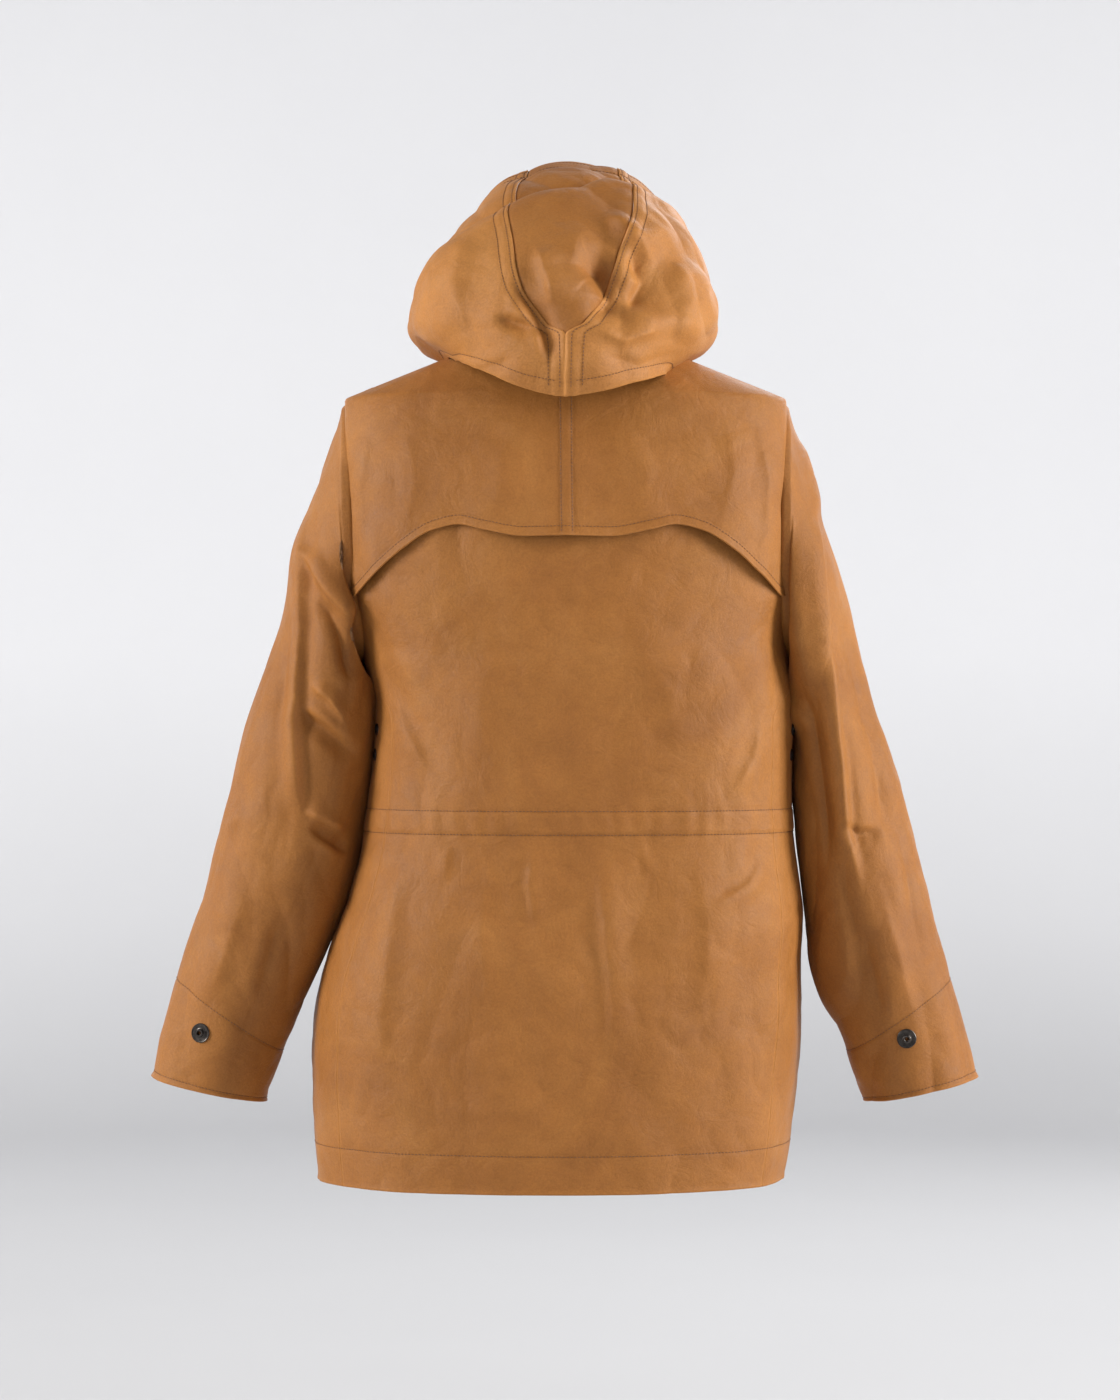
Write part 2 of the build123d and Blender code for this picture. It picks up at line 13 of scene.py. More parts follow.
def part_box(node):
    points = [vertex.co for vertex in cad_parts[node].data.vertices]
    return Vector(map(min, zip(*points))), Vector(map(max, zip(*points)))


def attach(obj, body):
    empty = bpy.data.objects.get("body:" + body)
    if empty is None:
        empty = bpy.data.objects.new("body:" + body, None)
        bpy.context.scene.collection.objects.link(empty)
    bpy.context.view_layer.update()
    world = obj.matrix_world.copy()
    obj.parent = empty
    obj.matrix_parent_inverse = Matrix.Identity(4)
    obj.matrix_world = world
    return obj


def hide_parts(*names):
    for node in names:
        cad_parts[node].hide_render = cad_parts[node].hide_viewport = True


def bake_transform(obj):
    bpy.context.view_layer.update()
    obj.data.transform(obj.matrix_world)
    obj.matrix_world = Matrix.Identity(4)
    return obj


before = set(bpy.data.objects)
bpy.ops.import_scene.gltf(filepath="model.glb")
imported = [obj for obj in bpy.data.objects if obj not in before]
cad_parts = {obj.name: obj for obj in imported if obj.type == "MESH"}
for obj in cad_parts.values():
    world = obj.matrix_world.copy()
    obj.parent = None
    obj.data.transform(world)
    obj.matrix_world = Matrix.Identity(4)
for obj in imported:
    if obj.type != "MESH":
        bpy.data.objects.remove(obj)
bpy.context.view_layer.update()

MM = 0.001
CLOTH = 1.3             # thickness of shell and lining as they show at an edge
STITCH_PITCH = 3.4
STITCH_LENGTH = 2.5
STITCH_WIDTH = 0.75

# ---------------------------------------------------------------- the coat's own sizes, as in its frame
HEM_Z, TOP_Z = -786.0, 14.0
ARMPIT = (206.0, -285.0)
SHOULDER = (212.0, -35.0)
NECK_SIDE = (75.0, 20.0)
ARMHOLE_HALF_DEPTH = 72.0
ARMPIT_EASE = 60.0      # how far above the armpit the armhole takes to reach its depth
SQUARENESS = (2.4, 3.2)
SIDE_SEAM = radians(61.6)
NECK_HOLE = (73.0, 75.0, -4.0)
BODY = [
    (-786, 226, 139, 141), (-740, 232, 141, 141), (-650, 238, 143, 141), (-560, 229, 142, 141),
    (-455, 209, 136, 141), (-370, 203, 136, 141), (-285, 206, 138, 141), (-230, 205, 137, 141),
    (-166, 205, 134, 136), (-110, 208, 128, 112), (-48, 211, 111, 76), (-35, 212, 106, 70),
    (-14, 157, 94, 61), (14, 87, 77, 53),
]
# how far the coat hangs off to one side: x shift by height
SWAY = [
    (-806, 14), (-740, 11), (-600, 5), (-510, -10), (-430, -14), (-330, -17), (-285, -10),
    (-200, -2), (14, 0),
]
SLEEVE = [
    ((213.5, -34), (208, -286), 72), ((235, -101), (211, -338), 74), ((264, -197), (218, -420), 75),
    ((293, -298), (229, -500), 71), ((321, -399), (243, -565), 66), ((348, -500), (257, -622), 61),
    ((375, -594), (274, -664), 56), ((401, -689), (290, -713), 52),
]
INNER_FULLNESS = {1: 16.0, -1: 12.0}    # how much wider each sleeve is, towards the body
CHIN = (-86.0, -52.0)
HOOD = [
    (9, 258, 115), (20, 256, 127), (32, 258, 138), (45, 268, 147), (57, 279, 149), (69, 281, 143),
    (80, 274, 132), (88, 256, 124), (93, 228, 112),
]
HOOD_FOOT = 26.0
HOOD_LEAN = -7.0        # how far the hood's crown leans to the right
HOOD_BELOW = (0.9, 1.5)  # the turns between which a side of the hood goes over into its lower part
HOOD_CENTRE = [(9, 38), (32, 48), (45, 50), (57, 43), (67, 34), (73, 18), (77, 6)]
HOOD_START, HOOD_SEAM_END, HOOD_END = 9.0, 77.0, 89.0
CROWN_CREASE = 31.0     # how far back, in degrees, the fold across the crown lies
RIM_SEAM = 25.5
RIM_MM_PER_DEGREE = 4.3
MM_PER_TURN = 128.0
ROOM_OVER_SHOULDERS = 7.0


# ---------------------------------------------------------------- curves and surfaces
def smooth_curve(table, column=1):
    """A smooth function through the table's points, with no overshoot between them."""
    xs = np.array([row[0] for row in table], float)
    ys = np.array([row[column] for row in table], float)
    gaps = np.diff(xs)
    rises = np.diff(ys) / gaps
    slopes = np.zeros(len(xs))
    slopes[0], slopes[-1] = rises[0], rises[-1]
    for k in range(1, len(xs) - 1):
        before, after = rises[k - 1], rises[k]
        slopes[k] = 0.0 if before * after <= 0 else 2 * before * after / (before + after)

    def read(x):
        x = np.clip(x, xs[0], xs[-1])
        i = np.clip(np.searchsorted(xs, x, side="right") - 1, 0, len(gaps) - 1)
        t = (x - xs[i]) / gaps[i]
        lead, tail, rise = gaps[i] * slopes[i], gaps[i] * slopes[i + 1], ys[i + 1] - ys[i]
        return ys[i] + lead * t + (3 * rise - 2 * lead - tail) * t**2 + (lead + tail - 2 * rise) * t**3

    return read


def step(x, low, high):
    """0 below low, 1 above high, smooth between."""
    t = np.clip((x - low) / (high - low), 0, 1)
    return t * t * (3 - 2 * t)


body_half, body_back, body_front = (smooth_curve(BODY, c) for c in (1, 2, 3))
sway_at = smooth_curve(SWAY)
hood_height, hood_half = smooth_curve(HOOD), smooth_curve(HOOD, 2)
hood_centre = smooth_curve(HOOD_CENTRE)
SLEEVE_ROWS = [(k / (len(SLEEVE) - 1), *o, *i, depth) for k, (o, i, depth) in enumerate(SLEEVE)]
sleeve_curves = [smooth_curve(SLEEVE_ROWS, c) for c in range(1, 6)]


def body_width(z):
    """Half the coat's width at a height, with a straight shoulder line above the shoulder point."""
    along = (z - SHOULDER[1]) / (NECK_SIDE[1] - SHOULDER[1])
    over = SHOULDER[0] + (NECK_SIDE[0] - SHOULDER[0]) * along
    return np.where(z <= SHOULDER[1], body_half(z), over)


def armhole_reach(z):
    """How far the armhole spreads to the back and to the front of the shoulder at a height."""
    middle, half = (ARMPIT[1] + SHOULDER[1]) / 2, (SHOULDER[1] - ARMPIT[1]) / 2
    share = np.sqrt(np.maximum(0, 1 - ((z - middle) / half) ** 2))
    return ARMHOLE_HALF_DEPTH * share * step(z, ARMPIT[1], ARMPIT[1] + ARMPIT_EASE)


def body_at(z, turn):
    """Points of the coat's outside: turn is 0 at the middle of the back and pi at the front."""
    z, turn = np.broadcast_arrays(np.asarray(z, float), np.asarray(turn, float))
    behind = np.cos(turn) >= 0
    edge = armhole_reach(z)
    depth = np.where(behind, body_back(z), body_front(z))
    power = np.where(behind, *SQUARENESS)
    share = np.maximum(0, 1 - np.abs(np.sin(turn)) ** power) ** (1 / power)
    reach = depth * share + edge * (1 - share) ** 1.6
    y = np.where(behind, reach, -reach)
    free = step(y, -135, -20)
    return np.stack([body_width(z) * np.sin(turn) + sway_at(z) * free, y, z], -1)


def side_seam(z):
    """The turn of the side seam, which moves up into the middle of the armhole."""
    rise = step(z, -345, -283)
    return SIDE_SEAM + (pi / 2 - SIDE_SEAM) * rise


def front_turn(z, x):
    """The turn at a distance from the middle of the front."""
    return pi - np.arcsin(x / body_width(z))


def sleeve_at(side, s, turn):
    """Points of a sleeve: s is 0 at the armhole and 1 at the cuff, turn is 0 outside and pi/2 behind."""
    ox, oz, ix, iz, depth = (c(s) for c in sleeve_curves)
    x = (ox + ix) / 2 + (ox - ix) / 2 * np.cos(turn)
    z = (oz + iz) / 2 + (oz - iz) / 2 * np.cos(turn)
    inner = (1 - np.cos(turn)) / 2 * (1 - step(s, 0.48, 0.86))
    sway = sway_at(z) * np.maximum(inner, 1 - step(s, 0.0, 0.08))
    sway = sway - side * INNER_FULLNESS[side] * inner * step(s, 0.02, 0.12)
    head = 9 * step(s, -0.010, 0.006) * (1 - step(s, 0.10, 0.34))
    x = x - 10 * (1 - step(s, -0.004, 0.02))
    return np.stack([side * x + sway, (depth + head) * np.sin(turn) + 0 * z, z], -1)


def hood_at(angle, turn):
    """Points of the hood, a fan of arches from the face opening back: turn is 0 on top, pi at the chin."""
    angle, turn = np.broadcast_arrays(np.asarray(angle, float), np.asarray(turn, float))
    out = hood_height(angle) / 2 * (1 + np.cos(turn))
    a = np.radians(angle)
    z = CHIN[1] + out * np.cos(a)
    wide = np.sign(np.sin(turn)) * np.abs(np.sin(turn)) ** 0.88
    below = step(np.abs(turn), *HOOD_BELOW)
    gathered = 1 - 0.24 * (1 - step(z, -26, 36)) * step(angle, 14, 40) * below
    gathered = gathered - 0.10 * (1 - step(z, -12, 32)) * step(angle, 40, 70) * (1 - below)
    x = hood_half(angle) * wide * gathered + HOOD_LEAN * step(z, 60, 170)
    return np.stack([x, CHIN[0] + out * np.sin(a), z], -1)


# ---------------------------------------------------------------- panels
def noise_at(points, size, seed):
    """Smooth seeded noise, about -1 to 1, at points in mm."""
    flat = points.reshape(-1, 3) / size + seed * 7.31
    values = [noise.noise(Vector(p)) for p in flat]
    return np.array(values).reshape(points.shape[:-1])


def creases(points, size, seed):
    """Sharp-edged soft facets, as stiff waxed cloth folds: 0 on the crease lines, up to 1 between them."""
    ridge = np.abs(noise_at(points, size, seed))
    return np.minimum(ridge * 2.2, 1.0)


class Panel:
    """A grid of points in mm, rows by columns, with its outward side."""

    def __init__(self, points, outward):
        self.rest = np.array(points, float)
        self.points = self.rest.copy()
        self.outward = outward

    def normals(self, source=None):
        p = self.points if source is None else source
        down, across = np.gradient(p, axis=0), np.gradient(p, axis=1)
        n = np.cross(down, across)
        length = np.linalg.norm(n, axis=-1, keepdims=True)
        n = n / np.maximum(length, 1e-9)
        return n * self.outward

    def push(self, heights):
        """Moves the cloth out by heights, in mm, along its normals at rest."""
        self.points = self.points + self.normals(self.rest) * heights[..., None]
        return self

    def at(self, row, column, lift=0.0):
        """The point and normal at fractional grid places, lifted off the cloth."""
        row, column = np.asarray(row, float), np.asarray(column, float)
        rows, columns = self.points.shape[:2]
        r = np.clip(row, 0, rows - 1.001)
        c = np.clip(column, 0, columns - 1.001)
        i, j = r.astype(int), c.astype(int)
        fr, fc = (r - i)[..., None], (c - j)[..., None]

        def mix(grid):
            top = grid[i, j] * (1 - fc) + grid[i, j + 1] * fc
            low = grid[i + 1, j] * (1 - fc) + grid[i + 1, j + 1] * fc
            return top * (1 - fr) + low * fr

        normal = mix(self.normals())
        normal = normal / np.linalg.norm(normal, axis=-1, keepdims=True)
        return mix(self.points) + normal * lift, normal

    def line_at_height(self, z, count=160, first=0.0, last=1.0):
        """Grid places along the line where the cloth, at rest, is at height z, from one side to the other."""
        columns = np.linspace(first, last, count) * (self.rest.shape[1] - 1)
        heights = [self.rest[:, int(round(c)), 2] for c in columns]
        rows = [np.interp(z, h if h[0] < h[-1] else h[::-1], np.arange(len(h)) if h[0] < h[-1]
                          else np.arange(len(h))[::-1]) for h in heights]
        return np.array(rows), columns

    def inner(self, rows, columns, depth, counts):
        """A panel depth mm inside this one, over a stretch of its grid given as shares from 0 to 1."""
        r = np.linspace(*rows, counts[0]) * (self.points.shape[0] - 1)
        c = np.linspace(*columns, counts[1]) * (self.points.shape[1] - 1)
        grid = self.at(*np.meshgrid(r, c, indexing="ij"), lift=-depth)[0]
        return Panel(grid, self.outward)

    def size(self):
        """Width, length and area of the cloth, in metres."""
        down = np.linalg.norm(np.diff(self.points, axis=0), axis=-1)
        across = np.linalg.norm(np.diff(self.points, axis=1), axis=-1)
        d = self.points[1:, 1:] - self.points[:-1, :-1]
        e = self.points[1:, :-1] - self.points[:-1, 1:]
        area = np.linalg.norm(np.cross(d, e), axis=-1).sum() / 2
        return across.sum(1).max() * MM, down.sum(0).max() * MM, area * MM * MM


def mesh_object(name, vertices, faces, uvs=None, smooth=True):
    mesh = bpy.data.meshes.new(name)
    mesh.from_pydata([tuple(v) for v in np.asarray(vertices) * MM], [], faces)
    if uvs is not None:
        layer = mesh.uv_layers.new(name="cloth")
        loops = np.zeros(len(mesh.loops), dtype=np.int32)
        mesh.loops.foreach_get("vertex_index", loops)
        layer.data.foreach_set("uv", uvs[loops].astype(np.float32).ravel())
    mesh.polygons.foreach_set("use_smooth", [smooth] * len(mesh.polygons))
    mesh.validate()
    obj = bpy.data.objects.new(name, mesh)
    bpy.context.scene.collection.objects.link(obj)
    return obj


def grid_faces(rows, columns, flip, first=0):
    i, j = np.meshgrid(np.arange(rows - 1), np.arange(columns - 1), indexing="ij")
    a = first + i * columns + j
    quads = np.stack([a, a + 1, a + columns + 1, a + columns], -1).reshape(-1, 4)
    return (quads[:, ::-1] if flip else quads).tolist()


def panel_uvs(panel):
    down = np.linalg.norm(np.diff(panel.rest, axis=0), axis=-1)
    across = np.linalg.norm(np.diff(panel.rest, axis=1), axis=-1)
    v = np.concatenate([np.zeros((1, panel.rest.shape[1])), np.cumsum(down, 0)]) * MM
    u = np.concatenate([np.zeros((panel.rest.shape[0], 1)), np.cumsum(across, 1)], 1) * MM
    return np.stack([u, v], -1).reshape(-1, 2)


def cloth_object(name, panels, outside, inside, thickness=CLOTH):
    """One cloth piece from one or more panels, with its thickness behind its outer face."""
    vertices, faces, uvs, first = [], [], [], 0
    for panel in panels:
        rows, columns = panel.points.shape[:2]
        vertices.append(panel.points.reshape(-1, 3))
        uvs.append(panel_uvs(panel))
        faces += grid_faces(rows, columns, panel.outward > 0, first)
        first += rows * columns
    obj = mesh_object(name, np.concatenate(vertices), faces, np.concatenate(uvs))
    for material in (outside, inside):
        obj.data.materials.append(material)
    solid = obj.modifiers.new("thickness", "SOLIDIFY")
    solid.thickness = thickness * MM
    solid.offset = -1
    solid.material_offset = 1
    solid.material_offset_rim = 0
    solid.use_even_offset = False
    return obj


def declare(panels):
    """Works out each panel's width, length and area, and does nothing more with them."""
    sizes = [panel.size() for panel in panels]


# ---------------------------------------------------------------- folds
def line_distance(points, line):
    """Signed distance from each point, in the x-z view, to a line, and how far along the line it is."""
    line = np.array(line, float)
    xz = points[..., [0, 2]]
    lengths = np.linalg.norm(np.diff(line, axis=0), axis=1)
    total = lengths.sum()
    best = np.full(xz.shape[:-1], 1e9)
    signed, along = np.zeros_like(best), np.zeros_like(best)
    run = 0.0
    for a, b, length in zip(line[:-1], line[1:], lengths):
        d = (b - a) / length
        rel = xz - a
        t = np.clip(rel @ d, 0, length)
        off = rel - t[..., None] * d
        distance = np.linalg.norm(off, axis=-1)
        side = rel[..., 0] * d[1] - rel[..., 1] * d[0]
        near = distance < best
        best = np.where(near, distance, best)
        signed = np.where(near, np.sign(side) * distance, signed)
        along = np.where(near, (run + t) / total, along)
        run += length
    return signed, along


def fold(points, line, width, height, lean=0.0, ends=0.25):
    """A fold along a line of (x, z): a ridge if height is positive, and with lean a crisp step beside it."""
    signed, along = line_distance(points, line)
    taper = step(along, 0, ends) * (1 - step(along, 1 - ends, 1))
    far = (np.abs(signed) / width) ** 2
    bell = np.exp(-1.5 * np.sqrt(far + 0.02))
    crisp = signed / width * np.exp(-far)
    return height * taper * (bell + lean * crisp)


def all_folds(points, table, strength=1.0):
    """The folds of a table of (line, width, height, lean, ends), together."""
    return sum(fold(points, line, width, height * strength, lean, ends)
               for line, width, height, lean, ends in table)


def stitch_dent(distance, depth=0.45, width=2.4):
    return -depth * np.exp(-((distance / width) ** 2))


# ---------------------------------------------------------------- stitches and small rings
def tube_ring(count):
    return [(cos(2 * pi * k / count), sin(2 * pi * k / count)) for k in range(count)]


STITCH_RING = tube_ring(6)
STITCH_SHAPE = [(-1.0, 0.25), (-0.72, 0.85), (0.0, 1.0), (0.72, 0.85), (1.0, 0.25)]


def resample(points, pitch):
    """Evenly spaced shares along a line of points, in the line's own index units."""
    lengths = np.linalg.norm(np.diff(points, axis=0), axis=1)
    run = np.concatenate([[0], np.cumsum(lengths)])
    count = max(2, int(run[-1] / pitch))
    return np.interp((np.arange(count) + 0.5) / count * run[-1], run, np.arange(len(points)))


def stitch_line(panel, rows, columns, lift=0.15):
    """Stitches along grid places: vertices and faces."""
    points, normals = panel.at(rows, columns, lift)
    where = resample(points, STITCH_PITCH)
    i = np.clip(where.astype(int), 0, len(points) - 2)
    f = (where - i)[:, None]
    centre = points[i] * (1 - f) + points[i + 1] * f
    up = normals[i]
    along = points[i + 1] - points[i]
    along /= np.maximum(np.linalg.norm(along, axis=1, keepdims=True), 1e-9)
    side = np.cross(up, along)
    vertices, faces = [], []
    ring = len(STITCH_RING)
    for c, a, s, u in zip(centre, along, side, up):
        first = len(vertices)
        for reach, girth in STITCH_SHAPE:
            for x, y in STITCH_RING:
                bow = 0.25 * (1 - reach * reach)
                vertices.append(c + a * reach * STITCH_LENGTH / 2 + s * x * girth * STITCH_WIDTH / 2
                                + u * (y * girth * STITCH_WIDTH / 2 * 0.8 + bow))
        for k in range(len(STITCH_SHAPE) - 1):
            for m in range(ring):
                a0, b0 = first + k * ring + m, first + k * ring + (m + 1) % ring
                faces.append((a0, b0, b0 + ring, a0 + ring))
        faces.append(tuple(first + m for m in reversed(range(ring))))
        faces.append(tuple(first + (len(STITCH_SHAPE) - 1) * ring + m for m in range(ring)))
    return vertices, faces


def stitching(name, lines, material):
    """One piece made of stitch lines, each a (panel, rows, columns)."""
    vertices, faces = [], []
    for panel, rows, columns in lines:
        v, f = stitch_line(panel, rows, columns)
        faces += [tuple(k + len(vertices) for k in face) for face in f]
        vertices += v
    obj = mesh_object(name, vertices, faces)
    obj.data.materials.append(material)
    return obj


def revolved(name, outline, place, material, segments=40):
    """A turned piece: outline is (radius, height) in mm about the place's normal."""
    point, normal = place
    normal = Vector(normal).normalized()
    turn = Vector((0, 0, 1)).rotation_difference(normal).to_matrix()
    vertices, faces = [], []
    for radius, height in outline:
        for k in range(segments):
            a = 2 * pi * k / segments
            v = turn @ Vector((radius * cos(a), radius * sin(a), height))
            vertices.append(tuple(v + Vector(point)))
    rings = len(outline)
    for r in range(rings):
        for k in range(segments):
            a, b = r * segments + k, r * segments + (k + 1) % segments
            c, d = (r + 1) % rings * segments + (k + 1) % segments, (r + 1) % rings * segments + k
            faces.append((a, b, c, d))
    obj = mesh_object(name, vertices, faces)
    obj.data.materials.append(material)
    return obj


# ---------------------------------------------------------------- materials
def shader_material(name):
    material = bpy.data.materials.new(name)
    material.use_nodes = True
    tree = material.node_tree
    return material, tree, tree.nodes["Principled BSDF"]


def link(tree, source, target):
    tree.links.new(source, target)


def noise_node(tree, vector, scale, detail, roughness=0.55, distortion=0.0):
    node = tree.nodes.new("ShaderNodeTexNoise")
    node.inputs["Scale"].default_value = scale
    node.inputs["Detail"].default_value = detail
    node.inputs["Roughness"].default_value = roughness
    node.inputs["Distortion"].default_value = distortion
    link(tree, vector, node.inputs["Vector"])
    return node.outputs["Fac"]


def ramp_node(tree, value, stops):
    node = tree.nodes.new("ShaderNodeValToRGB")
    while len(node.color_ramp.elements) < len(stops):
        node.color_ramp.elements.new(0.5)
    for element, (place, colour) in zip(node.color_ramp.elements, stops):
        element.position = place
        element.color = (*colour, 1)
    link(tree, value, node.inputs["Fac"])
    return node.outputs["Color"]


def grey(value):
    return (value, value, value)


def mix_node(tree, blend, amount, a, b):
    node = tree.nodes.new("ShaderNodeMix")
    node.data_type = "RGBA"
    node.blend_type = blend
    for socket, value in ((node.inputs[0], amount), (node.inputs[6], a), (node.inputs[7], b)):
        if isinstance(value, (int, float)):
            socket.default_value = value
        elif isinstance(value, tuple):
            socket.default_value = (*value, 1)
        else:
            link(tree, value, socket)
    return node.outputs[2]


def maths(tree, operation, a, b):
    node = tree.nodes.new("ShaderNodeMath")
    node.operation = operation
    for socket, value in zip(node.inputs, (a, b)):
        if isinstance(value, (int, float)):
            socket.default_value = value
        else:
            link(tree, value, socket)
    return node.outputs[0]


def bump_node(tree, height, strength, distance, normal=None):
    node = tree.nodes.new("ShaderNodeBump")
    node.inputs["Strength"].default_value = strength
    node.inputs["Distance"].default_value = distance
    link(tree, height, node.inputs["Height"])
    if normal is not None:
        link(tree, normal, node.inputs["Normal"])
    return node.outputs["Normal"]


def cloth_material(name, colour, dark, worn, roughness=0.52, sheen=0.03, thread=0.0009, wear=0.35):
    """Woven cotton with a waxed face: faintly mottled, rubbed paler on its folds, finely creased."""
    material, tree, shader = shader_material(name)
    coords = tree.nodes.new("ShaderNodeTexCoord")
    place = coords.outputs["Object"]
    clouds = noise_node(tree, place, 7.5, 7, 0.64, 0.8)
    blotches = noise_node(tree, place, 34, 6, 0.66, 0.6)
    grain = noise_node(tree, place, 520, 4, 0.7)
    base = ramp_node(tree, clouds, [(0.30, dark), (0.50, colour), (0.72, worn)])
    stain = ramp_node(tree, blotches, [(0.32, grey(0.84)), (0.55, grey(1.0)), (0.74, grey(1.12))])
    base = mix_node(tree, "MULTIPLY", 0.5, base, stain)
    speck = ramp_node(tree, grain, [(0.30, grey(0.72)), (0.62, grey(1.10))])
    base = mix_node(tree, "MULTIPLY", 0.6, base, speck)
    rub = tree.nodes.new("ShaderNodeNewGeometry").outputs["Pointiness"]
    edge = ramp_node(tree, rub, [(0.51, grey(0.0)), (0.58, grey(1.0))])
    edge = maths(tree, "MULTIPLY", edge, wear)
    base = mix_node(tree, "MIX", edge, base, tuple(min(1.0, c * 1.4) for c in worn))
    link(tree, base, shader.inputs["Base Color"])
    rough = ramp_node(tree, blotches, [(0.3, grey(roughness - 0.08)), (0.7, grey(roughness + 0.10))])
    link(tree, rough, shader.inputs["Roughness"])
    shader.inputs["Sheen Weight"].default_value = sheen
    shader.inputs["Sheen Roughness"].default_value = 0.4
    shader.inputs["Specular IOR Level"].default_value = 0.28
    threads = []
    separate = tree.nodes.new("ShaderNodeSeparateXYZ")
    link(tree, coords.outputs["UV"], separate.inputs[0])
    for axis in range(2):
        wave = maths(tree, "SINE", maths(tree, "MULTIPLY", separate.outputs[axis], 2 * pi / thread), 0.0)
        threads.append(maths(tree, "ABSOLUTE", wave, 0.0))
    weave = maths(tree, "MAXIMUM", threads[0], threads[1])
    crumple = noise_node(tree, place, 30, 8, 0.62, 1.2)
    wandering = maths(tree, "SUBTRACT", noise_node(tree, place, 17, 5, 0.55, 1.6), 0.5)
    wrinkle = maths(tree, "ABSOLUTE", wandering, 0.0)
    sharp = ramp_node(tree, wrinkle, [(0.0, grey(0.0)), (0.05, grey(0.8)), (0.16, grey(1.0))])
    soft = bump_node(tree, crumple, 0.6, 0.0024)
    creased = bump_node(tree, sharp, 0.12, 0.0010, soft)
    fine = bump_node(tree, grain, 0.5, 0.0004, creased)
    woven = bump_node(tree, weave, 0.35, 0.00025, fine)
    link(tree, woven, shader.inputs["Normal"])
    return material


def thread_material(name, colour, dark):
    material, tree, shader = shader_material(name)
    place = tree.nodes.new("ShaderNodeTexCoord").outputs["Object"]
    twist = noise_node(tree, place, 900, 3, 0.7)
    link(tree, ramp_node(tree, twist, [(0.3, dark), (0.7, colour)]), shader.inputs["Base Color"])
    shader.inputs["Roughness"].default_value = 0.55
    link(tree, bump_node(tree, twist, 0.5, 0.0002), shader.inputs["Normal"])
    return material


def metal_material(name, colour, dark, roughness):
    """Plated metal, a little dulled and scratched."""
    material, tree, shader = shader_material(name)
    place = tree.nodes.new("ShaderNodeTexCoord").outputs["Object"]
    dull = noise_node(tree, place, 210, 5, 0.6)
    scratch = noise_node(tree, place, 1400, 2, 0.5, 1.5)
    link(tree, ramp_node(tree, dull, [(0.3, dark), (0.65, colour)]), shader.inputs["Base Color"])
    shader.inputs["Metallic"].default_value = 1.0
    rough = ramp_node(tree, dull, [(0.3, grey(roughness + 0.18)), (0.7, grey(roughness))])
    link(tree, rough, shader.inputs["Roughness"])
    link(tree, bump_node(tree, scratch, 0.2, 0.0001), shader.inputs["Normal"])
    return material


def plastic_material(name, colour, dark):
    material, tree, shader = shader_material(name)
    place = tree.nodes.new("ShaderNodeTexCoord").outputs["Object"]
    haze = noise_node(tree, place, 300, 4)
    link(tree, ramp_node(tree, haze, [(0.35, dark), (0.65, colour)]), shader.inputs["Base Color"])
    link(tree, ramp_node(tree, haze, [(0.3, grey(0.42)), (0.7, grey(0.55))]), shader.inputs["Roughness"])
    link(tree, bump_node(tree, haze, 0.15, 0.0001), shader.inputs["Normal"])
    return material


# a lighter copy of the shell for the hood's side panels: painted light, standing for the side lamps falling on
# the hood's sides
HOOD_SIDES_LIT_SHELL = cloth_material("waxed_shell_hood_painted_light", (0.450, 0.182, 0.040), (0.400, 0.158, 0.034),
                            (0.500, 0.215, 0.054))
SHELL = cloth_material("waxed_shell", (0.352, 0.134, 0.026), (0.300, 0.110, 0.021), (0.405, 0.164, 0.036))
LINING = cloth_material("lining", (0.22, 0.105, 0.040), (0.17, 0.078, 0.028), (0.27, 0.135, 0.055),
                        roughness=0.75, sheen=0.2, thread=0.0014, wear=0.1)
TRIM = cloth_material("trim", (0.24, 0.125, 0.05), (0.19, 0.095, 0.035), (0.30, 0.16, 0.07),
                      roughness=0.7, sheen=0.2, thread=0.0012, wear=0.15)
THREAD = thread_material("thread", (0.20, 0.085, 0.026), (0.13, 0.052, 0.016))
SNAP = metal_material("snap", (0.085, 0.075, 0.068), (0.035, 0.031, 0.028), 0.30)
EYELET = metal_material("eyelet", (0.07, 0.06, 0.055), (0.03, 0.026, 0.024), 0.35)
ZIP_METAL = metal_material("zip_metal", (0.55, 0.51, 0.45), (0.36, 0.33, 0.28), 0.28)
TEETH = plastic_material("zip_teeth", (0.115, 0.062, 0.026), (0.08, 0.042, 0.018))

# ---------------------------------------------------------------- hardware that the cloth stays calm around
def centre_of(node):
    low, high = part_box(node)
    return np.array([(a + b) / 2 / MM for a, b in zip(low, high)])


CALM_SPOTS = [centre_of(f"{side}_cuff_{half}") for side in ("left", "right") for half in ("stud", "socket")]


def calm(points, reach=26.0):
    """0 beside a snap, where the cloth lies as the frame has it, and 1 away from it."""
    left = np.ones(points.shape[:-1])
    for spot in CALM_SPOTS:
        distance = np.linalg.norm(points - spot, axis=-1)
        left = left * (1 - np.exp(-((distance / reach) ** 2)))
    return left


# ---------------------------------------------------------------- body
CAPE_HEM_SEAM = 9.0
WAIST_CHANNEL = (-451.0, -429.0)
HEM_STITCH = -750.0


def neck_top(turn, clear=0.0):
    """How high the cloth goes at that turn: the neck opening's edge, or the shoulder seam."""
    tops = []
    for t in np.atleast_1d(turn):
        z = np.linspace(-130, TOP_Z, 400)
        p = body_at(z, t)
        across = p[:, 0] / (NECK_HOLE[0] + clear)
        inside = across ** 2 + ((p[:, 1] - NECK_HOLE[2]) / (NECK_HOLE[1] + clear)) ** 2 < 1
        tops.append(z[np.argmax(inside)] if inside.any() else TOP_Z)
    return np.array(tops)


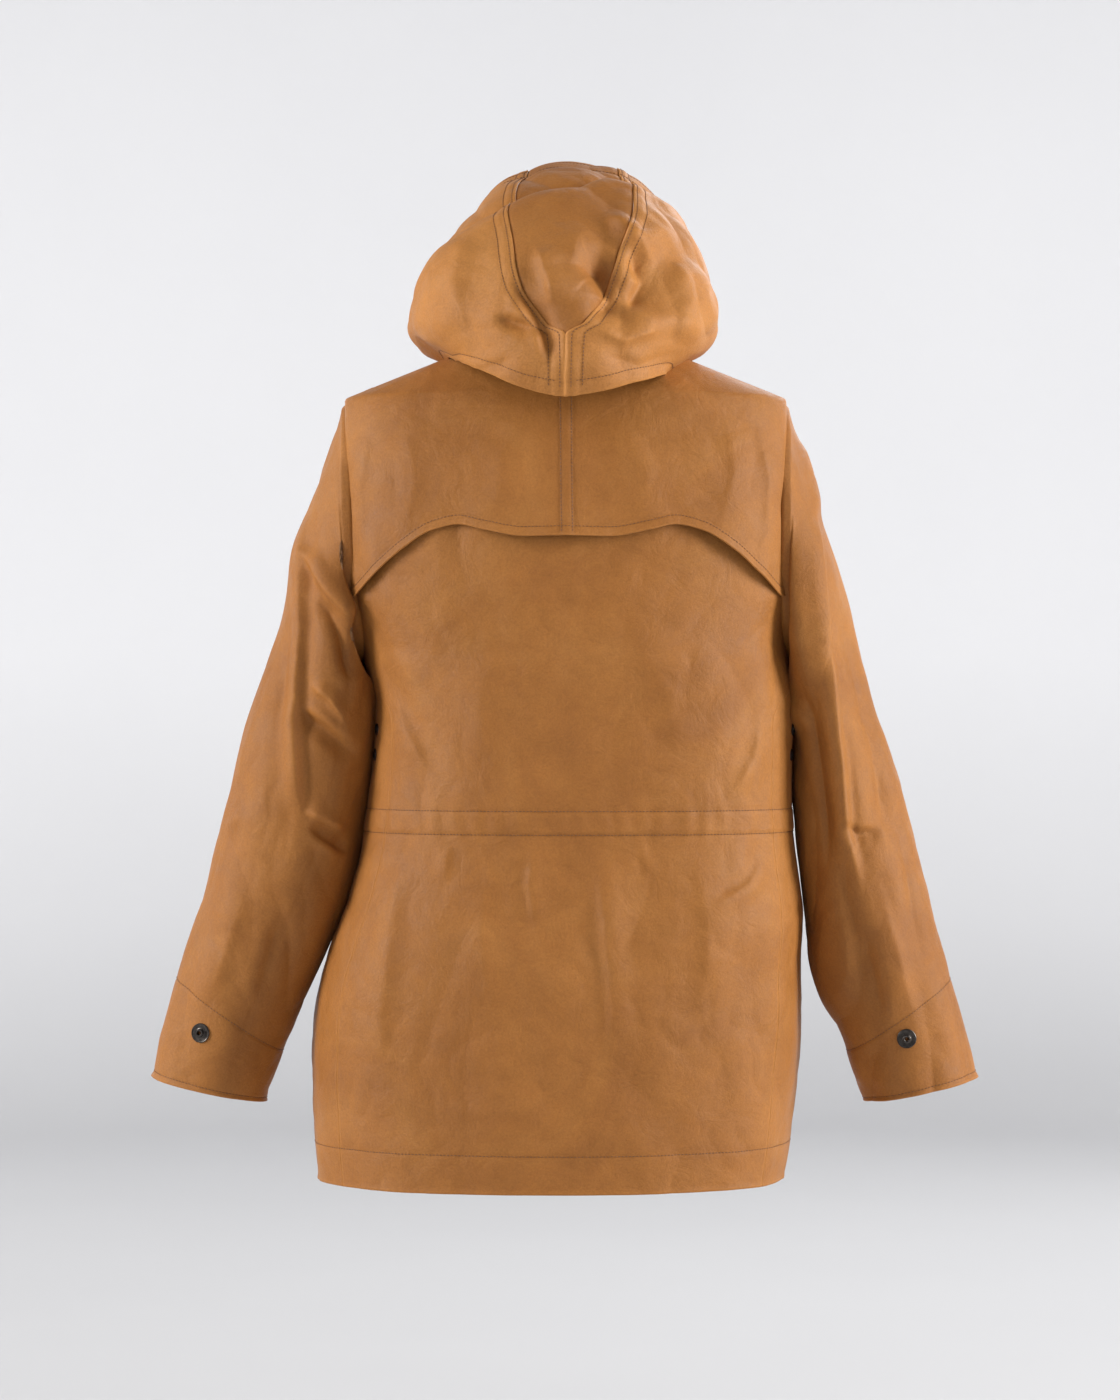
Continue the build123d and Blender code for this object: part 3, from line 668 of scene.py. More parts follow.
def body_panel(low, high, first, last, rows, columns, outward):
    """A panel of the coat between two heights and two turns: high may also be a function of the turn."""
    v = np.linspace(0, 1, rows)[:, None]
    u = np.linspace(0, 1, columns)[None, :]
    turns_at_foot = first(low) + (last(low) - first(low)) * u[0]
    top = high(turns_at_foot) if callable(high) else np.full(columns, float(high))
    z = low + (top[None, :] - low) * v
    turn = first(z) + (last(z) - first(z)) * u
    return Panel(body_at(z, turn), outward)


BACK_FOLDS = [
    ([(-28, -456), (-35, -520), (-44, -610), (-40, -680)], 13, 2.6, 0.9, 0.35),
    ([(70, -460), (78, -540), (66, -640)], 20, 1.8, -0.5, 0.4),
    ([(-120, -458), (-132, -540), (-128, -640)], 18, 2.2, 0.6, 0.4),
    ([(150, -452), (160, -520), (172, -620), (168, -700)], 22, 3.0, -0.8, 0.35),
    ([(-188, -330), (-176, -380), (-150, -424)], 12, 2.6, 0.8, 0.4),
    ([(166, -300), (150, -352), (120, -410)], 13, 2.4, -0.8, 0.4),
    ([(-60, -250), (-96, -320), (-110, -400)], 26, 1.8, 0.3, 0.4),
    ([(60, -260), (80, -330), (60, -410)], 28, 1.6, -0.3, 0.4),
    ([(-190, -470), (-170, -500), (-130, -522)], 10, 2.2, 0.9, 0.4),
    ([(30, -455), (34, -500), (26, -550)], 9, 1.5, 0.9, 0.4),
    ([(-70, -455), (-78, -494)], 7, 1.3, 0.9, 0.45),
    ([(108, -455), (112, -498)], 8, 1.4, -0.9, 0.45),
    ([(-10, -680), (60, -712), (150, -704)], 24, 1.6, 0.4, 0.45),
]


FRONT_EDGE = 9.0
FRONT_FOLDS = [
    ([(120, -200), (150, -260), (180, -330)], 16, 4.0, 0.8, 0.35),
    ([(60, -230), (90, -330), (110, -430)], 24, 3.0, -0.4, 0.35),
    ([(190, -470), (196, -560), (200, -700)], 18, 3.2, 0.6, 0.35),
    ([(170, -360), (150, -410), (120, -440)], 12, 3.2, 0.8, 0.4),
    ([(50, -120), (84, -180), (100, -250)], 18, 3.0, 0.5, 0.35),
]


def body_relief(points):
    """The folds of the coat's body, its waist channel and hem, and the cloth's own unevenness."""
    z = points[..., 2]
    seed = 1
    h = 3.0 * noise_at(points * np.array([1, 1, 0.45]), 120, seed) + 0.8 * noise_at(points, 62, seed + 3)
    h += 3.0 * (creases(points * np.array([1.3, 1.3, 0.55]), 96, seed + 5) - 0.6)
    h += 0.8 * (creases(points, 34, seed + 9) - 0.6)
    behind = step(points[..., 1], -20, 45)
    h += all_folds(points, BACK_FOLDS, 1.9) * behind
    mirrored = np.abs(points) * np.array([1, 0, 0]) + points * np.array([0, 1, 1])
    h += all_folds(mirrored, FRONT_FOLDS) * (1 - behind)
    h *= 1 - 0.55 * np.exp(-(((z + 440) / 26) ** 2))
    low, high = WAIST_CHANNEL
    h += 0.7 * step(z, low - 1, low + 3) * (1 - step(z, high - 3, high + 1))
    pucker = 0.45 * np.sin(points[..., 0] / 3.1 + 2.2 * noise_at(points, 30, seed + 4))
    h += pucker * np.exp(-(((z - (low + high) / 2) / 17) ** 2))
    for line in (low, high):
        h += stitch_dent(z - line, 0.55, 1.8)
    h += 0.3 * (1 - step(z, HEM_STITCH - 2, HEM_STITCH + 2))
    h += stitch_dent(z - HEM_STITCH, 0.4, 1.6)
    h += 0.8 * (1 - step(z, HEM_Z, HEM_Z + 5))
    return h


def flat_near_front(points):
    """The fronts lie true where the zip, placket and pockets are fixed."""
    front = step(-points[..., 1], 60, 118)
    return 1 - 0.88 * front


YOKE_SHORT = 0.02       # how much turn the yoke leaves free at each shoulder seam
back_panel = body_panel(HEM_Z, -120.0, lambda z: -side_seam(z), side_seam, 330, 230, 1)
back_panel.push(body_relief(back_panel.rest))
back_yoke = body_panel(-160.0, lambda t: neck_top(t, 2.0), lambda z: -side_seam(z) + YOKE_SHORT,
                       lambda z: side_seam(z) - YOKE_SHORT, 60, 120, 1)
back_yoke.push(np.full(back_yoke.rest.shape[:2], -1.0))


def front_panel(side):
    def first(z):
        return side * (side_seam(z) - 0.05 * step(z, -75, -50))

    def last(z):
        return side * front_turn(z, FRONT_EDGE)

    panel = body_panel(HEM_Z, lambda t: neck_top(t, 1.5), first, last, 330, 170, side)
    return panel.push(body_relief(panel.rest) * flat_near_front(panel.rest))


fronts = {"left": front_panel(1), "right": front_panel(-1)}

# ---------------------------------------------------------------- the cape over the shoulders
CAPE_LIFT = smooth_curve([
    (-250, 9.5), (-215, 9.0), (-180, 7.5), (-140, 4.6), (-100, 3.6), (-60, 3.0), (14, 2.6),
])
# the cape's lower edge: z by distance from the middle of the back
CAPE_EDGE = smooth_curve([
    (0, -172), (40, -172.5), (80, -166), (104, -161), (128, -166), (158, -184), (186, -208), (206, -226),
])
CAPE_SIDE = 211.0
CAPE_FOLDS = [
    ([(30, -40), (60, -100), (64, -164)], 24, 2.4, 0.3, 0.3),
    ([(150, -60), (140, -120), (150, -178)], 20, 2.6, -0.5, 0.3),
    ([(-46, -50), (-76, -110), (-70, -164)], 26, 2.6, -0.3, 0.3),
    ([(-150, -50), (-158, -110), (-140, -172)], 18, 3.0, 0.6, 0.3),
    ([(-180, -60), (-190, -120), (-186, -190)], 10, 2.4, 0.9, 0.3),
    ([(186, -70), (192, -130), (186, -190)], 11, 2.2, -0.9, 0.3),
]


def cape_panel():
    columns, rows = 261, 130
    u = np.linspace(-1, 1, columns)
    x_edge = CAPE_SIDE * u
    low = CAPE_EDGE(np.abs(x_edge))
    edge_turn = np.arcsin(np.clip(CAPE_SIDE / body_width(np.array(12.0)), 0, np.sin(1.53)) * u)
    edge_top = neck_top(edge_turn, 2.0)
    z = low[None, :] + (edge_top - low)[None, :] * np.linspace(0, 1, rows)[:, None]
    widest = np.minimum(CAPE_SIDE / body_width(z), np.sin(1.53))
    turn = np.arcsin(np.clip(widest * u[None, :], -1, 1))
    panel = Panel(body_at(z, turn), 1)
    points = panel.rest
    above = z - low[None, :]
    beside = step(np.abs(x_edge), CAPE_SIDE - 30, CAPE_SIDE - 2)[None, :]
    h = CAPE_LIFT(z) * (1 - 0.80 * beside)
    h = h + 1.6 * noise_at(points, 95, 31) + 0.9 * (creases(points, 60, 33) - 0.6) * 1.6
    h += 0.5 * (creases(points, 30, 35) - 0.6)
    h += all_folds(points, CAPE_FOLDS)
    wave = 2.6 * np.sin(points[..., 0] / 27 + 0.6) + 1.6 * np.sin(points[..., 0] / 11.5 + 2.0)
    h += wave * np.exp(-above / 32) * 0.8
    h += 0.8 * (1 - step(above, 8, 11)) + stitch_dent(above - CAPE_HEM_SEAM, 0.6, 2.2)
    h += 0.7 * np.exp(-((above / 2.2) ** 2))
    centre = np.abs(points[..., 0] - sway_at(z))
    h += 0.9 * (1 - step(centre, 4.2, 6.4)) + stitch_dent(centre - 5.4, 0.4, 1.6)
    panel.push(np.maximum(h, 2.2 - 1.0 * beside))
    return panel


cape = cape_panel()

# ---------------------------------------------------------------- sleeves
LEFT_FOLDS = [
    ([(244, -140), (249, -190), (252, -260), (256, -337), (254, -400), (250, -446)], 9, 4.4, -0.9, 0.18),
    ([(252, -176), (226, -220), (194, -260)], 10, 4.2, 0.9, 0.25),
    ([(238, -226), (216, -262), (200, -312)], 13, -5.6, 0.3, 0.25),
    ([(258, -334), (228, -352), (194, -380)], 10, -4.4, -0.8, 0.25),
    ([(246, -308), (224, -324), (204, -352)], 8, 2.8, 0.6, 0.3),
    ([(262, -214), (271, -290), (273, -366)], 14, -2.6, 0.3, 0.3),
    ([(246, -446), (224, -460), (204, -474)], 8, -4.0, 0.8, 0.3),
    ([(250, -430), (228, -440), (208, -452)], 7, 2.6, 0.6, 0.3),
    ([(300, -430), (318, -440), (330, -452)], 9, 1.6, 0.6, 0.4),
    ([(300, -500), (322, -560), (340, -620)], 17, 2.2, -0.5, 0.35),
    ([(268, -520), (284, -574), (296, -620)], 15, -2.4, 0.4, 0.35),
    ([(280, -300), (300, -360), (316, -420)], 15, 2.2, 0.5, 0.35),
    ([(222, -80), (238, -130), (252, -190)], 12, 2.0, 0.7, 0.35),
]
RIGHT_FOLDS = [
    ([(236, -120), (239, -191), (246, -245), (254, -314), (263, -389), (268, -444), (285, -521)],
     10, 4.8, 0.7, 0.2),
    ([(262, -230), (273, -267), (292, -340), (303, -400), (321, -470)], 16, -4.4, 0.3, 0.25),
    ([(222, -300), (232, -354), (244, -430), (251, -490)], 13, -5.4, -0.2, 0.3),
    ([(208, -300), (222, -340), (236, -352)], 9, 3.6, 0.8, 0.35),
    ([(258, -440), (280, -452), (306, -448)], 8, -3.0, 0.6, 0.35),
    ([(300, -510), (318, -570), (336, -640)], 16, 2.8, 0.5, 0.35),
    ([(284, -540), (296, -590), (306, -640)], 12, -2.4, 0.4, 0.35),
    ([(222, -60), (236, -112), (240, -160)], 10, 2.6, -0.7, 0.3),
    ([(296, -330), (316, -390), (330, -440)], 14, 2.4, 0.5, 0.35),
]
CUFF_STITCH = 98.0      # from the cuff's edge to the top of its facing
CUFF_EDGE_STITCH = 6.5
SLEEVE_LENGTH = 690.0
OUTER_SEAM = radians(112)


def sleeve_panel(side, folds):
    rows, columns = 330, 200
    s = np.linspace(-0.010, 1.0, rows)[:, None]
    turn = np.linspace(-pi, pi, columns)[None, :]
    points = sleeve_at(side, s, turn)
    before = np.minimum(s, 0) / 0.01
    first, second = (sleeve_at(side, np.full_like(s, share), turn) for share in (0.0, 0.01))
    points = points + (second - first) * before[..., None]
    panel = Panel(points, side)
    seen = points * np.array([side, 1, 1])
    behind = step(seen[..., 1], -45, 5)
    h = 1.6 * noise_at(points, 120, 40 + side) + 0.5 * noise_at(points, 48, 43 + side)
    h += 3.4 * (creases(points * np.array([1.4, 1.4, 0.55]), 78, 45 + side) - 0.6)
    h += 0.8 * (creases(points * np.array([1.2, 1.2, 0.8]), 34, 48 + side) - 0.6)
    shifted = [(line, width * 1.2, height * 1.1, -lean, ends) for line, width, height, lean, ends in folds]
    h += all_folds(seen, folds, 2.3) * behind
    h += all_folds(seen + np.array([-14, 0, 22]), shifted) * (1 - behind)
    from_edge = (1 - s) * SLEEVE_LENGTH + 0 * turn
    h *= 0.25 + 0.75 * step(s, 0.0, 0.06)
    h += 0.7 * step(s, 0.001, 0.006) * (1 - step(s, 0.014, 0.026)) - 2.0 * (1 - step(s, -0.008, 0.002))
    h += 0.35 * (1 - step(from_edge, CUFF_STITCH - 3, CUFF_STITCH + 2))
    h += stitch_dent(from_edge - CUFF_STITCH, 0.5, 1.6) + stitch_dent(from_edge - CUFF_EDGE_STITCH, 0.5, 2.0)
    h += 0.8 * np.exp(-((from_edge / 3.0) ** 2))
    seam = np.abs(np.abs(turn) - OUTER_SEAM) * 62 + 0 * s
    h += stitch_dent(seam, 0.35, 1.4)
    return panel.push(h * (0.25 + 0.75 * calm(points)))


sleeves = {"left": sleeve_panel(1, LEFT_FOLDS), "right": sleeve_panel(-1, RIGHT_FOLDS)}


# ---------------------------------------------------------------- hood
def over_shoulders(points):
    """True where a hood point would lie in the shoulders or the cape."""
    x, y, z = points[..., 0], points[..., 1], points[..., 2]
    zz = np.clip(z, -130, TOP_Z)
    width = body_width(zz) + ROOM_OVER_SHOULDERS
    sine = np.clip(np.abs(x) / width, 0, 1)
    turn = np.where(y >= 0, np.arcsin(sine), pi - np.arcsin(sine))
    reach = np.abs(body_at(zz, turn)[..., 1]) + ROOM_OVER_SHOULDERS
    return (np.abs(x) < width) & (np.abs(y) < reach) & (z < TOP_Z) & (z > -130)


# How high the hood's lower edge lies, against the distance from the middle, on the left and the right.
HOOD_EDGE = {1: ((0, 20, 41, 71, 95, 112, 124, 140), (-44, -42, -36, -23, -10, -1, 8, 14)),
             -1: ((0, 20, 45, 83, 117, 130, 142), (-44, -42, -37, -25, -8, 4, 14))}


def side_turn(angle, u):
    """The turn where a side panel of the hood starts, at its seam, and the turn at a share across it."""
    seam = np.arcsin(hood_centre(np.minimum(angle, HOOD_SEAM_END)) / hood_half(angle))
    inner = seam * (1 - step(angle, 74.6, 76.8))
    outer = pi - np.arcsin(HOOD_FOOT / hood_half(angle))
    return inner, inner + (outer - inner) * u


def last_angle(across, side):
    """For each place across a side panel, how far back its cloth goes before its edge or the shoulders."""
    last = []
    for u in across:
        angles = np.linspace(HOOD_START, HOOD_END, 340)
        points = hood_at(angles, side * side_turn(angles, u)[1])
        edge = np.interp(np.abs(points[:, 0]), *HOOD_EDGE[side]) - 34 * (1 - step(points[:, 1], -12, 52))
        ended = over_shoulders(points) | ((points[:, 2] < edge) & (points[:, 1] > -30))
        last.append(angles[max(2, np.argmax(ended))] if ended.any() else HOOD_END)
    return np.convolve(np.pad(last, 7, mode="edge"), np.ones(15) / 15, mode="valid")


HOOD_FOLDS = [
    ([(-4, 84), (-30, 78), (-44, 50), (-24, 20)], 24, -14.0, 0.2, 0.3),
    ([(-60, 104), (-78, 70), (-64, 34)], 20, -10.0, 0.5, 0.3),
    ([(-34, 128), (-62, 104), (-92, 84)], 12, 7.0, 0.7, 0.3),
    ([(52, 66), (34, 36), (20, 10), (12, -28)], 10, -6.5, 0.8, 0.3),
    ([(66, 30), (40, 22), (24, 12)], 8, -5.0, -0.8, 0.35),
    ([(28, 96), (16, 60), (10, 36)], 13, 5.5, 0.6, 0.3),
    ([(84, 120), (100, 66), (92, 14)], 24, 5.0, -0.5, 0.3),
    ([(-104, 96), (-116, 50), (-100, 6)], 22, 5.0, 0.5, 0.3),
    ([(40, -8), (84, -20), (118, -2)], 9, -4.0, 0.8, 0.35),
    ([(-30, -6), (-70, -16), (-104, 0)], 10, -4.0, -0.7, 0.35),
    ([(-20, 20), (-54, 6), (-96, 22)], 12, 4.0, 0.7, 0.35),
]


def hood_relief(points, angle, turn):
    """The hood's folds: the fold across its crown, the sagging facets behind that, and the rim's seam."""
    seed = 60
    h = 2.2 * noise_at(points, 85, seed) + 4.2 * (creases(points, 74, seed + 2) - 0.6)
    h += 1.0 * (creases(points, 30, seed + 4) - 0.6)
    top = np.exp(-((turn / 1.25) ** 2))
    x = points[..., 0]
    sag = angle - 1.5 * np.cos(3 * turn) - 13.0 * x / 120 + 2.5 * np.exp(-(((x + 38) / 16) ** 2))
    h += top * 5.5 * (step(sag, CROWN_CREASE, CROWN_CREASE + 2) - step(sag, 46, 78))
    h += top * -15.0 * np.exp(-1.4 * np.sqrt(((sag - CROWN_CREASE) / 4.5) ** 2 + 0.03))
    h += top * 6.0 * np.exp(-(((sag - 39) / 5.0) ** 2))
    h += top * -2.4 * np.exp(-(((angle - 14.5) / 2.2) ** 2))
    h += all_folds(points, HOOD_FOLDS, 1.9) * step(points[..., 1], 20, 60)
    from_rim = (angle - HOOD_START) * RIM_MM_PER_DEGREE
    h += 0.9 * (1 - step(from_rim, 24, 28)) + stitch_dent(from_rim - RIM_SEAM, 0.6, 2.2)
    h += stitch_dent(from_rim - 6, 0.5, 2) + 0.9 * np.exp(-((from_rim / 3.0) ** 2))
    return h


def hood_centre_panel():
    angle = np.linspace(HOOD_START, HOOD_SEAM_END, 190)[:, None]
    half = np.arcsin(hood_centre(angle) / hood_half(angle))
    turn = half * np.linspace(-1, 1, 70)[None, :]
    points = hood_at(angle, turn)
    from_seam = (half - np.abs(turn)) * MM_PER_TURN
    h = hood_relief(points, angle + 0 * turn, turn) - 0.5 * (1 - step(from_seam, 0, 3))
    return Panel(points, -1).push(h)


def hood_side_panel(side):
    u = np.linspace(0, 1, 200)
    last = last_angle(u, side)[None, :]
    angle = HOOD_START + (last - HOOD_START) * np.linspace(0, 1, 210)[:, None]
    inner, turn = side_turn(angle, u[None, :])
    points = hood_at(angle, side * turn)
    tucked = step(angle / last, 0.91, 1.0) * step(turn, 0.5, 1.6)
    points[..., 0] *= 1 - 0.16 * tucked
    points[..., 2] -= 9 * tucked
    h = hood_relief(points, angle, turn) * (1 - 0.7 * step(angle / last, 0.86, 1.0))
    from_seam = (turn - inner) * MM_PER_TURN
    h += 1.1 * (1 - step(from_seam, 9, 12.5))
    h += stitch_dent(from_seam - 10, 0.5, 1.8) + stitch_dent(from_seam - 3, 0.4, 1.6)
    from_edge = (last - angle) * 4.0
    h += 0.6 * (1 - step(from_edge, 7, 10)) + stitch_dent(from_edge - 8, 0.5, 2.0)
    return Panel(points, -side).push(h)


hood = {"centre": hood_centre_panel(), "left": hood_side_panel(1), "right": hood_side_panel(-1)}

# ---------------------------------------------------------------- placing pieces on the frame
# a piece would bend from the coat at the first place to its body at the second; only the names are read, and
# such a piece is just fixed where it stands
BENDS = {
    "hood": ((0, 0, -0.050), (0, 0, 0.085)),
    "placket": ((0.0385, -0.149, -0.5), (0.0295, -0.149, -0.5)),
}
for name, side in (("left", 1), ("right", -1)):
    BENDS[f"{name}_sleeve"] = ((side * 0.211, 0, -0.160), (side * 0.262, 0, -0.161))
    BENDS[f"{name}_flap"] = ((side * 0.15, -0.147, -0.468), (side * 0.15, -0.147, -0.484))


def settle(obj, body, slot, *nodes):
    """Rides on the coat, or, for a body in BENDS, stays fixed where it stands; and stands for its CAD nodes,
    which it hides.
    """
    if body in BENDS:
        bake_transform(obj)
    else:
        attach(obj, body)
    if nodes:
        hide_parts(*nodes)
    return obj


def cloth_piece(name, panels, body, nodes, outside=SHELL, inside=LINING, thickness=CLOTH, slot="shell_cloth"):
    obj = cloth_object(name, panels, outside, inside, thickness)
    settle(obj, body, slot, *nodes)
    declare(panels)


def sewing(name, body, lines):
    settle(stitching(name, lines, THREAD), body, "shell_cloth")


def row_line(panel, row, first=0.0, last=1.0, count=150):
    columns = np.linspace(first, last, count) * (panel.points.shape[1] - 1)
    return panel, np.full(count, row * (panel.points.shape[0] - 1)), columns


def column_line(panel, column, first=0.0, last=1.0, count=200):
    rows = np.linspace(first, last, count) * (panel.points.shape[0] - 1)
    return panel, rows, np.full(count, column * (panel.points.shape[1] - 1))


def height_line(panel, z, first=0.0, last=1.0):
    rows, columns = panel.line_at_height(z, 170, first, last)
    return panel, rows, columns


def contour(panel, field, level):
    """Grid places where a field over the panel crosses a level, one for each column of the panel."""
    columns = np.linspace(0, 1, 160) * (field.shape[1] - 1)
    rows = []
    for c in columns:
        line = field[:, int(round(c))]
        order = np.argsort(line)
        rows.append(np.interp(level, line[order], np.arange(len(line))[order]))
    return panel, np.array(rows), columns


# back and yoke
cloth_piece("back", [back_panel], "coat", ["back_panel"])
cloth_piece("yoke", [back_yoke], "coat", ["back_yoke"])
low, high = WAIST_CHANNEL
sewing("back_stitches", "coat", [height_line(back_panel, z) for z in (low, high, HEM_STITCH)])
for name, panel in fronts.items():
    cloth_piece(f"{name}_front", [panel], "coat", [f"{name}_front_panel"])
    lines = [height_line(panel, z) for z in (low, high, HEM_STITCH)]
    lines += [column_line(panel, share, 0.0, 0.93) for share in (0.985, 0.975)]
    sewing(f"{name}_front_stitches", "coat", lines)

# cape
cloth_piece("cape", [cape], "coat", ["storm_cape_left", "storm_cape_right"], thickness=1.7)
across = np.linspace(-CAPE_SIDE, CAPE_SIDE, cape.rest.shape[1])
above_edge = cape.rest[..., 2] - CAPE_EDGE(np.abs(across))[None, :]
cape_lines = [contour(cape, above_edge, CAPE_HEM_SEAM - 0.5)]
for offset in (-5.2, 5.2):
    column = np.interp(offset, across, np.arange(len(across)))
    cape_lines.append((cape, np.linspace(2, 127, 150), np.full(150, column)))
sewing("cape_stitches", "coat", cape_lines)

# sleeves, cuffs and their facings
for name, side in (("left", 1), ("right", -1)):
    panel = sleeves[name]
    body = f"{name}_sleeve"
    cloth_piece(f"{name}_sleeve_cloth", [panel], body, [f"{name}_sleeve_upper", f"{name}_sleeve_under"])
    to_edge = (1 - np.linspace(0, 1, panel.points.shape[0])) * SLEEVE_LENGTH
    from_edge = to_edge[:, None] + 0 * panel.rest[..., 0]
    lines = [contour(panel, from_edge, level) for level in (CUFF_STITCH, CUFF_EDGE_STITCH)]
    sewing(f"{name}_sleeve_stitches", body, lines)
    facing = panel.inner((0.862, 0.997), (0.0, 1.0), 2.2, (40, 90))
    cloth_piece(f"{name}_cuff_lining", [facing], body, [f"{name}_cuff_facing"], SHELL, LINING, 0.8)

# hood
cloth_piece("hood_centre", [hood["centre"]], "hood", ["hood_centre_panel"])
for name in ("left", "right"):
    panel = hood[name]
    nodes = [f"hood_{name}_panel"] + (["hood_neck_band"] if name == "left" else [])
    # the side panels take the lighter shell copy, painted light on the hood's sides
    cloth_piece(f"hood_{name}", [panel], "hood", nodes, HOOD_SIDES_LIT_SHELL)
    lines = [column_line(panel, share, 0.0, 0.98) for share in (0.010, 0.036)]
    lines.append(row_line(panel, 0.965, 0.02, 0.94))
    seam_row = RIM_SEAM / RIM_MM_PER_DEGREE / 84.0
    lines += [row_line(panel, row, 0.0, 0.98) for row in (seam_row, seam_row * 0.24)]
    sewing(f"hood_{name}_stitches", "hood", lines)
centre = hood["centre"]
seam_row = RIM_SEAM / RIM_MM_PER_DEGREE / (HOOD_SEAM_END - HOOD_START)
sewing("hood_centre_stitches", "hood", [row_line(centre, row) for row in (seam_row, seam_row * 0.24)])
rim = [hood["right"].inner((0.002, 0.13), (0.0, 0.97), 2.0, (16, 90))]
rim[0] = Panel(rim[0].points[:, ::-1], 1)
rim.append(centre.inner((0.002, 0.16), (0.0, 1.0), 2.0, (16, 30)))
rim.append(hood["left"].inner((0.002, 0.13), (0.0, 0.97), 2.0, (16, 90)))
cloth_piece("hood_rim_lining", rim, "hood", ["hood_edge_facing"], SHELL, LINING, 0.8)

# collar, loop and label inside the neck
COLLAR_TOP = 42.0


def collar_panel():
    rows, columns = 30, 150
    turn = np.radians(np.linspace(-166, 166, columns))[None, :]
    x = (NECK_HOLE[0] - 1.6) * np.sin(turn)
    y = NECK_HOLE[2] + (NECK_HOLE[1] - 1.6) * np.cos(turn)
    base = -28 + (y - NECK_HOLE[2]) * 58 / (2 * NECK_HOLE[1])
    v = np.linspace(0, 1, rows)[:, None]
    z = base + (COLLAR_TOP - base) * v
    points = np.stack(np.broadcast_arrays(x, y, z), -1)
    panel = Panel(points, 1)
    return panel.push(0.8 * noise_at(points, 40, 80) + 0.5 * np.exp(-(((1 - v) / 0.05) ** 2)) + 0 * turn)


collar = collar_panel()
cloth_piece("collar", [collar], "coat", ["stand_collar"])
sewing("collar_stitches", "coat", [row_line(collar, 0.93)])


LOOP_Z, LOOP_TALL = 6.0, 10.6
loop_low, loop_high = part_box("hanger_loop")
loop_x = loop_high[0] / MM - 4
near, far = loop_low[1] / MM, loop_high[1] / MM
share = np.linspace(-1, 1, 41)
loop_y = far - 1.0 - (far - near - 2.0) * (1 - np.abs(share) ** 4)
loop_rows = [np.stack([loop_x * share, loop_y, np.full(41, LOOP_Z + k * LOOP_TALL)], -1)
             for k in np.linspace(-0.5, 0.5, 7)]
cloth_piece("hanger_loop_strap", [Panel(np.array(loop_rows), 1)], "coat", ["hanger_loop"], TRIM, TRIM, 1.1,
            "trim_cloth")
label_low, label_high = (np.array(c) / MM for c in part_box("neck_label"))
share = np.linspace(0, 1, 24)
label_x = label_low[0] + (label_high[0] - label_low[0]) * share
label_rows = [np.stack([label_x, label_low[1] + 0.3 + 0.5 * np.sin(5 * share), np.full(24, z)], -1)
              for z in np.linspace(label_low[2], label_high[2], 12)]
cloth_piece("blank_label", [Panel(np.array(label_rows), 1)], "coat", ["neck_label"], TRIM, TRIM, 0.5)

# facings and bands inside
hem_bands = [back_panel.inner((0.002, 0.058), (0.01, 0.99), 3.0, (10, 120))]
waist_bands = [back_panel.inner((0.474, 0.51), (0.01, 0.99), 3.0, (8, 120))]
for name, panel in fronts.items():
    hem_bands.append(panel.inner((0.002, 0.046), (0.01, 0.80), 3.0, (10, 60)))
    waist_bands.append(panel.inner((0.39, 0.42), (0.01, 0.80), 3.0, (8, 60)))
    facing = panel.inner((0.004, 0.86), (0.83, 0.975), 3.0, (200, 16))
    cloth_piece(f"{name}_facing", [facing], "coat", [f"{name}_front_facing"], SHELL, LINING, 0.8)
    tape = panel.inner((0.09, 0.93), (0.955, 1.0), 3.2, (220, 8))
    tape.points[:, -1, 0] *= 0.35
    cloth_piece(f"{name}_tape", [tape], "coat", [f"{name}_zip_tape"], TRIM, TRIM, 0.7, "zip_tape_cloth")
cloth_piece("hem_lining_band", hem_bands, "coat", ["hem_facings"], LINING, LINING, 0.6, "lining_cloth")
cloth_piece("waist_lining_band", waist_bands, "coat", ["waist_channel"], LINING, LINING, 0.6, "lining_cloth")

# ---------------------------------------------------------------- placket, pockets and flaps
PLACKET_X = (38.5, -34.0)
PLACKET_Z = (-778.0, -231.0)
PLACKET_OUT = 8.3


def front_patch(x_range, z_range, lift, rows, columns, side=1):
    """A patch over the front between two distances from the middle, lifted off it by lift mm."""
    z = np.linspace(*z_range, rows)[:, None]
    x = np.linspace(*x_range, columns)[None, :] * side
    points = body_at(z, front_turn(z, x))
    panel = Panel(points, 1)
    if panel.normals()[rows // 2, columns // 2, 1] > 0:
        panel.outward = -1
    panel.points = panel.rest + panel.normals(panel.rest) * (lift + np.zeros((rows, columns)))[..., None]
    panel.rest = panel.points.copy()
    return panel


def edge_relief(rows, columns, width, length, seam=6.5):
    """A turned edge: thick rim, then a row of stitches in a dent. Sizes in mm."""
    r = np.linspace(0, length, rows)[:, None]
    c = np.linspace(0, width, columns)[None, :]
    near = np.minimum(np.minimum(r, length - r), np.minimum(c, width - c))
    raised = 0.5 * (1 - step(near, seam + 1, seam + 3)) - 0.5 * np.exp(-near / 0.8)
    return raised + stitch_dent(near - seam, 0.45, 1.8)


def edge_lines(panel, width, length, seam=6.5):
    """Stitch lines along a patch's four edges."""
    row, column = seam / length, seam / width
    lines = [row_line(panel, place, column, 1 - column) for place in (row, 1 - row)]
    return lines + [column_line(panel, place, row, 1 - row) for place in (column, 1 - column)]


placket_rise = np.concatenate([np.linspace(1.2, PLACKET_OUT, 6), np.full(44, PLACKET_OUT)])
placket = front_patch(PLACKET_X, PLACKET_Z, placket_rise[None, :], 260, 50)
placket_wide, placket_long = PLACKET_X[0] - PLACKET_X[1], PLACKET_Z[1] - PLACKET_Z[0]
relief = edge_relief(260, 50, placket_wide, placket_long)
placket.push(relief + 0.6 * noise_at(placket.rest, 60, 90) - 0.6)
cloth_piece("placket_cloth", [placket], "placket", ["placket"], thickness=1.5)
sewing("placket_stitches", "placket", edge_lines(placket, placket_wide, placket_long))

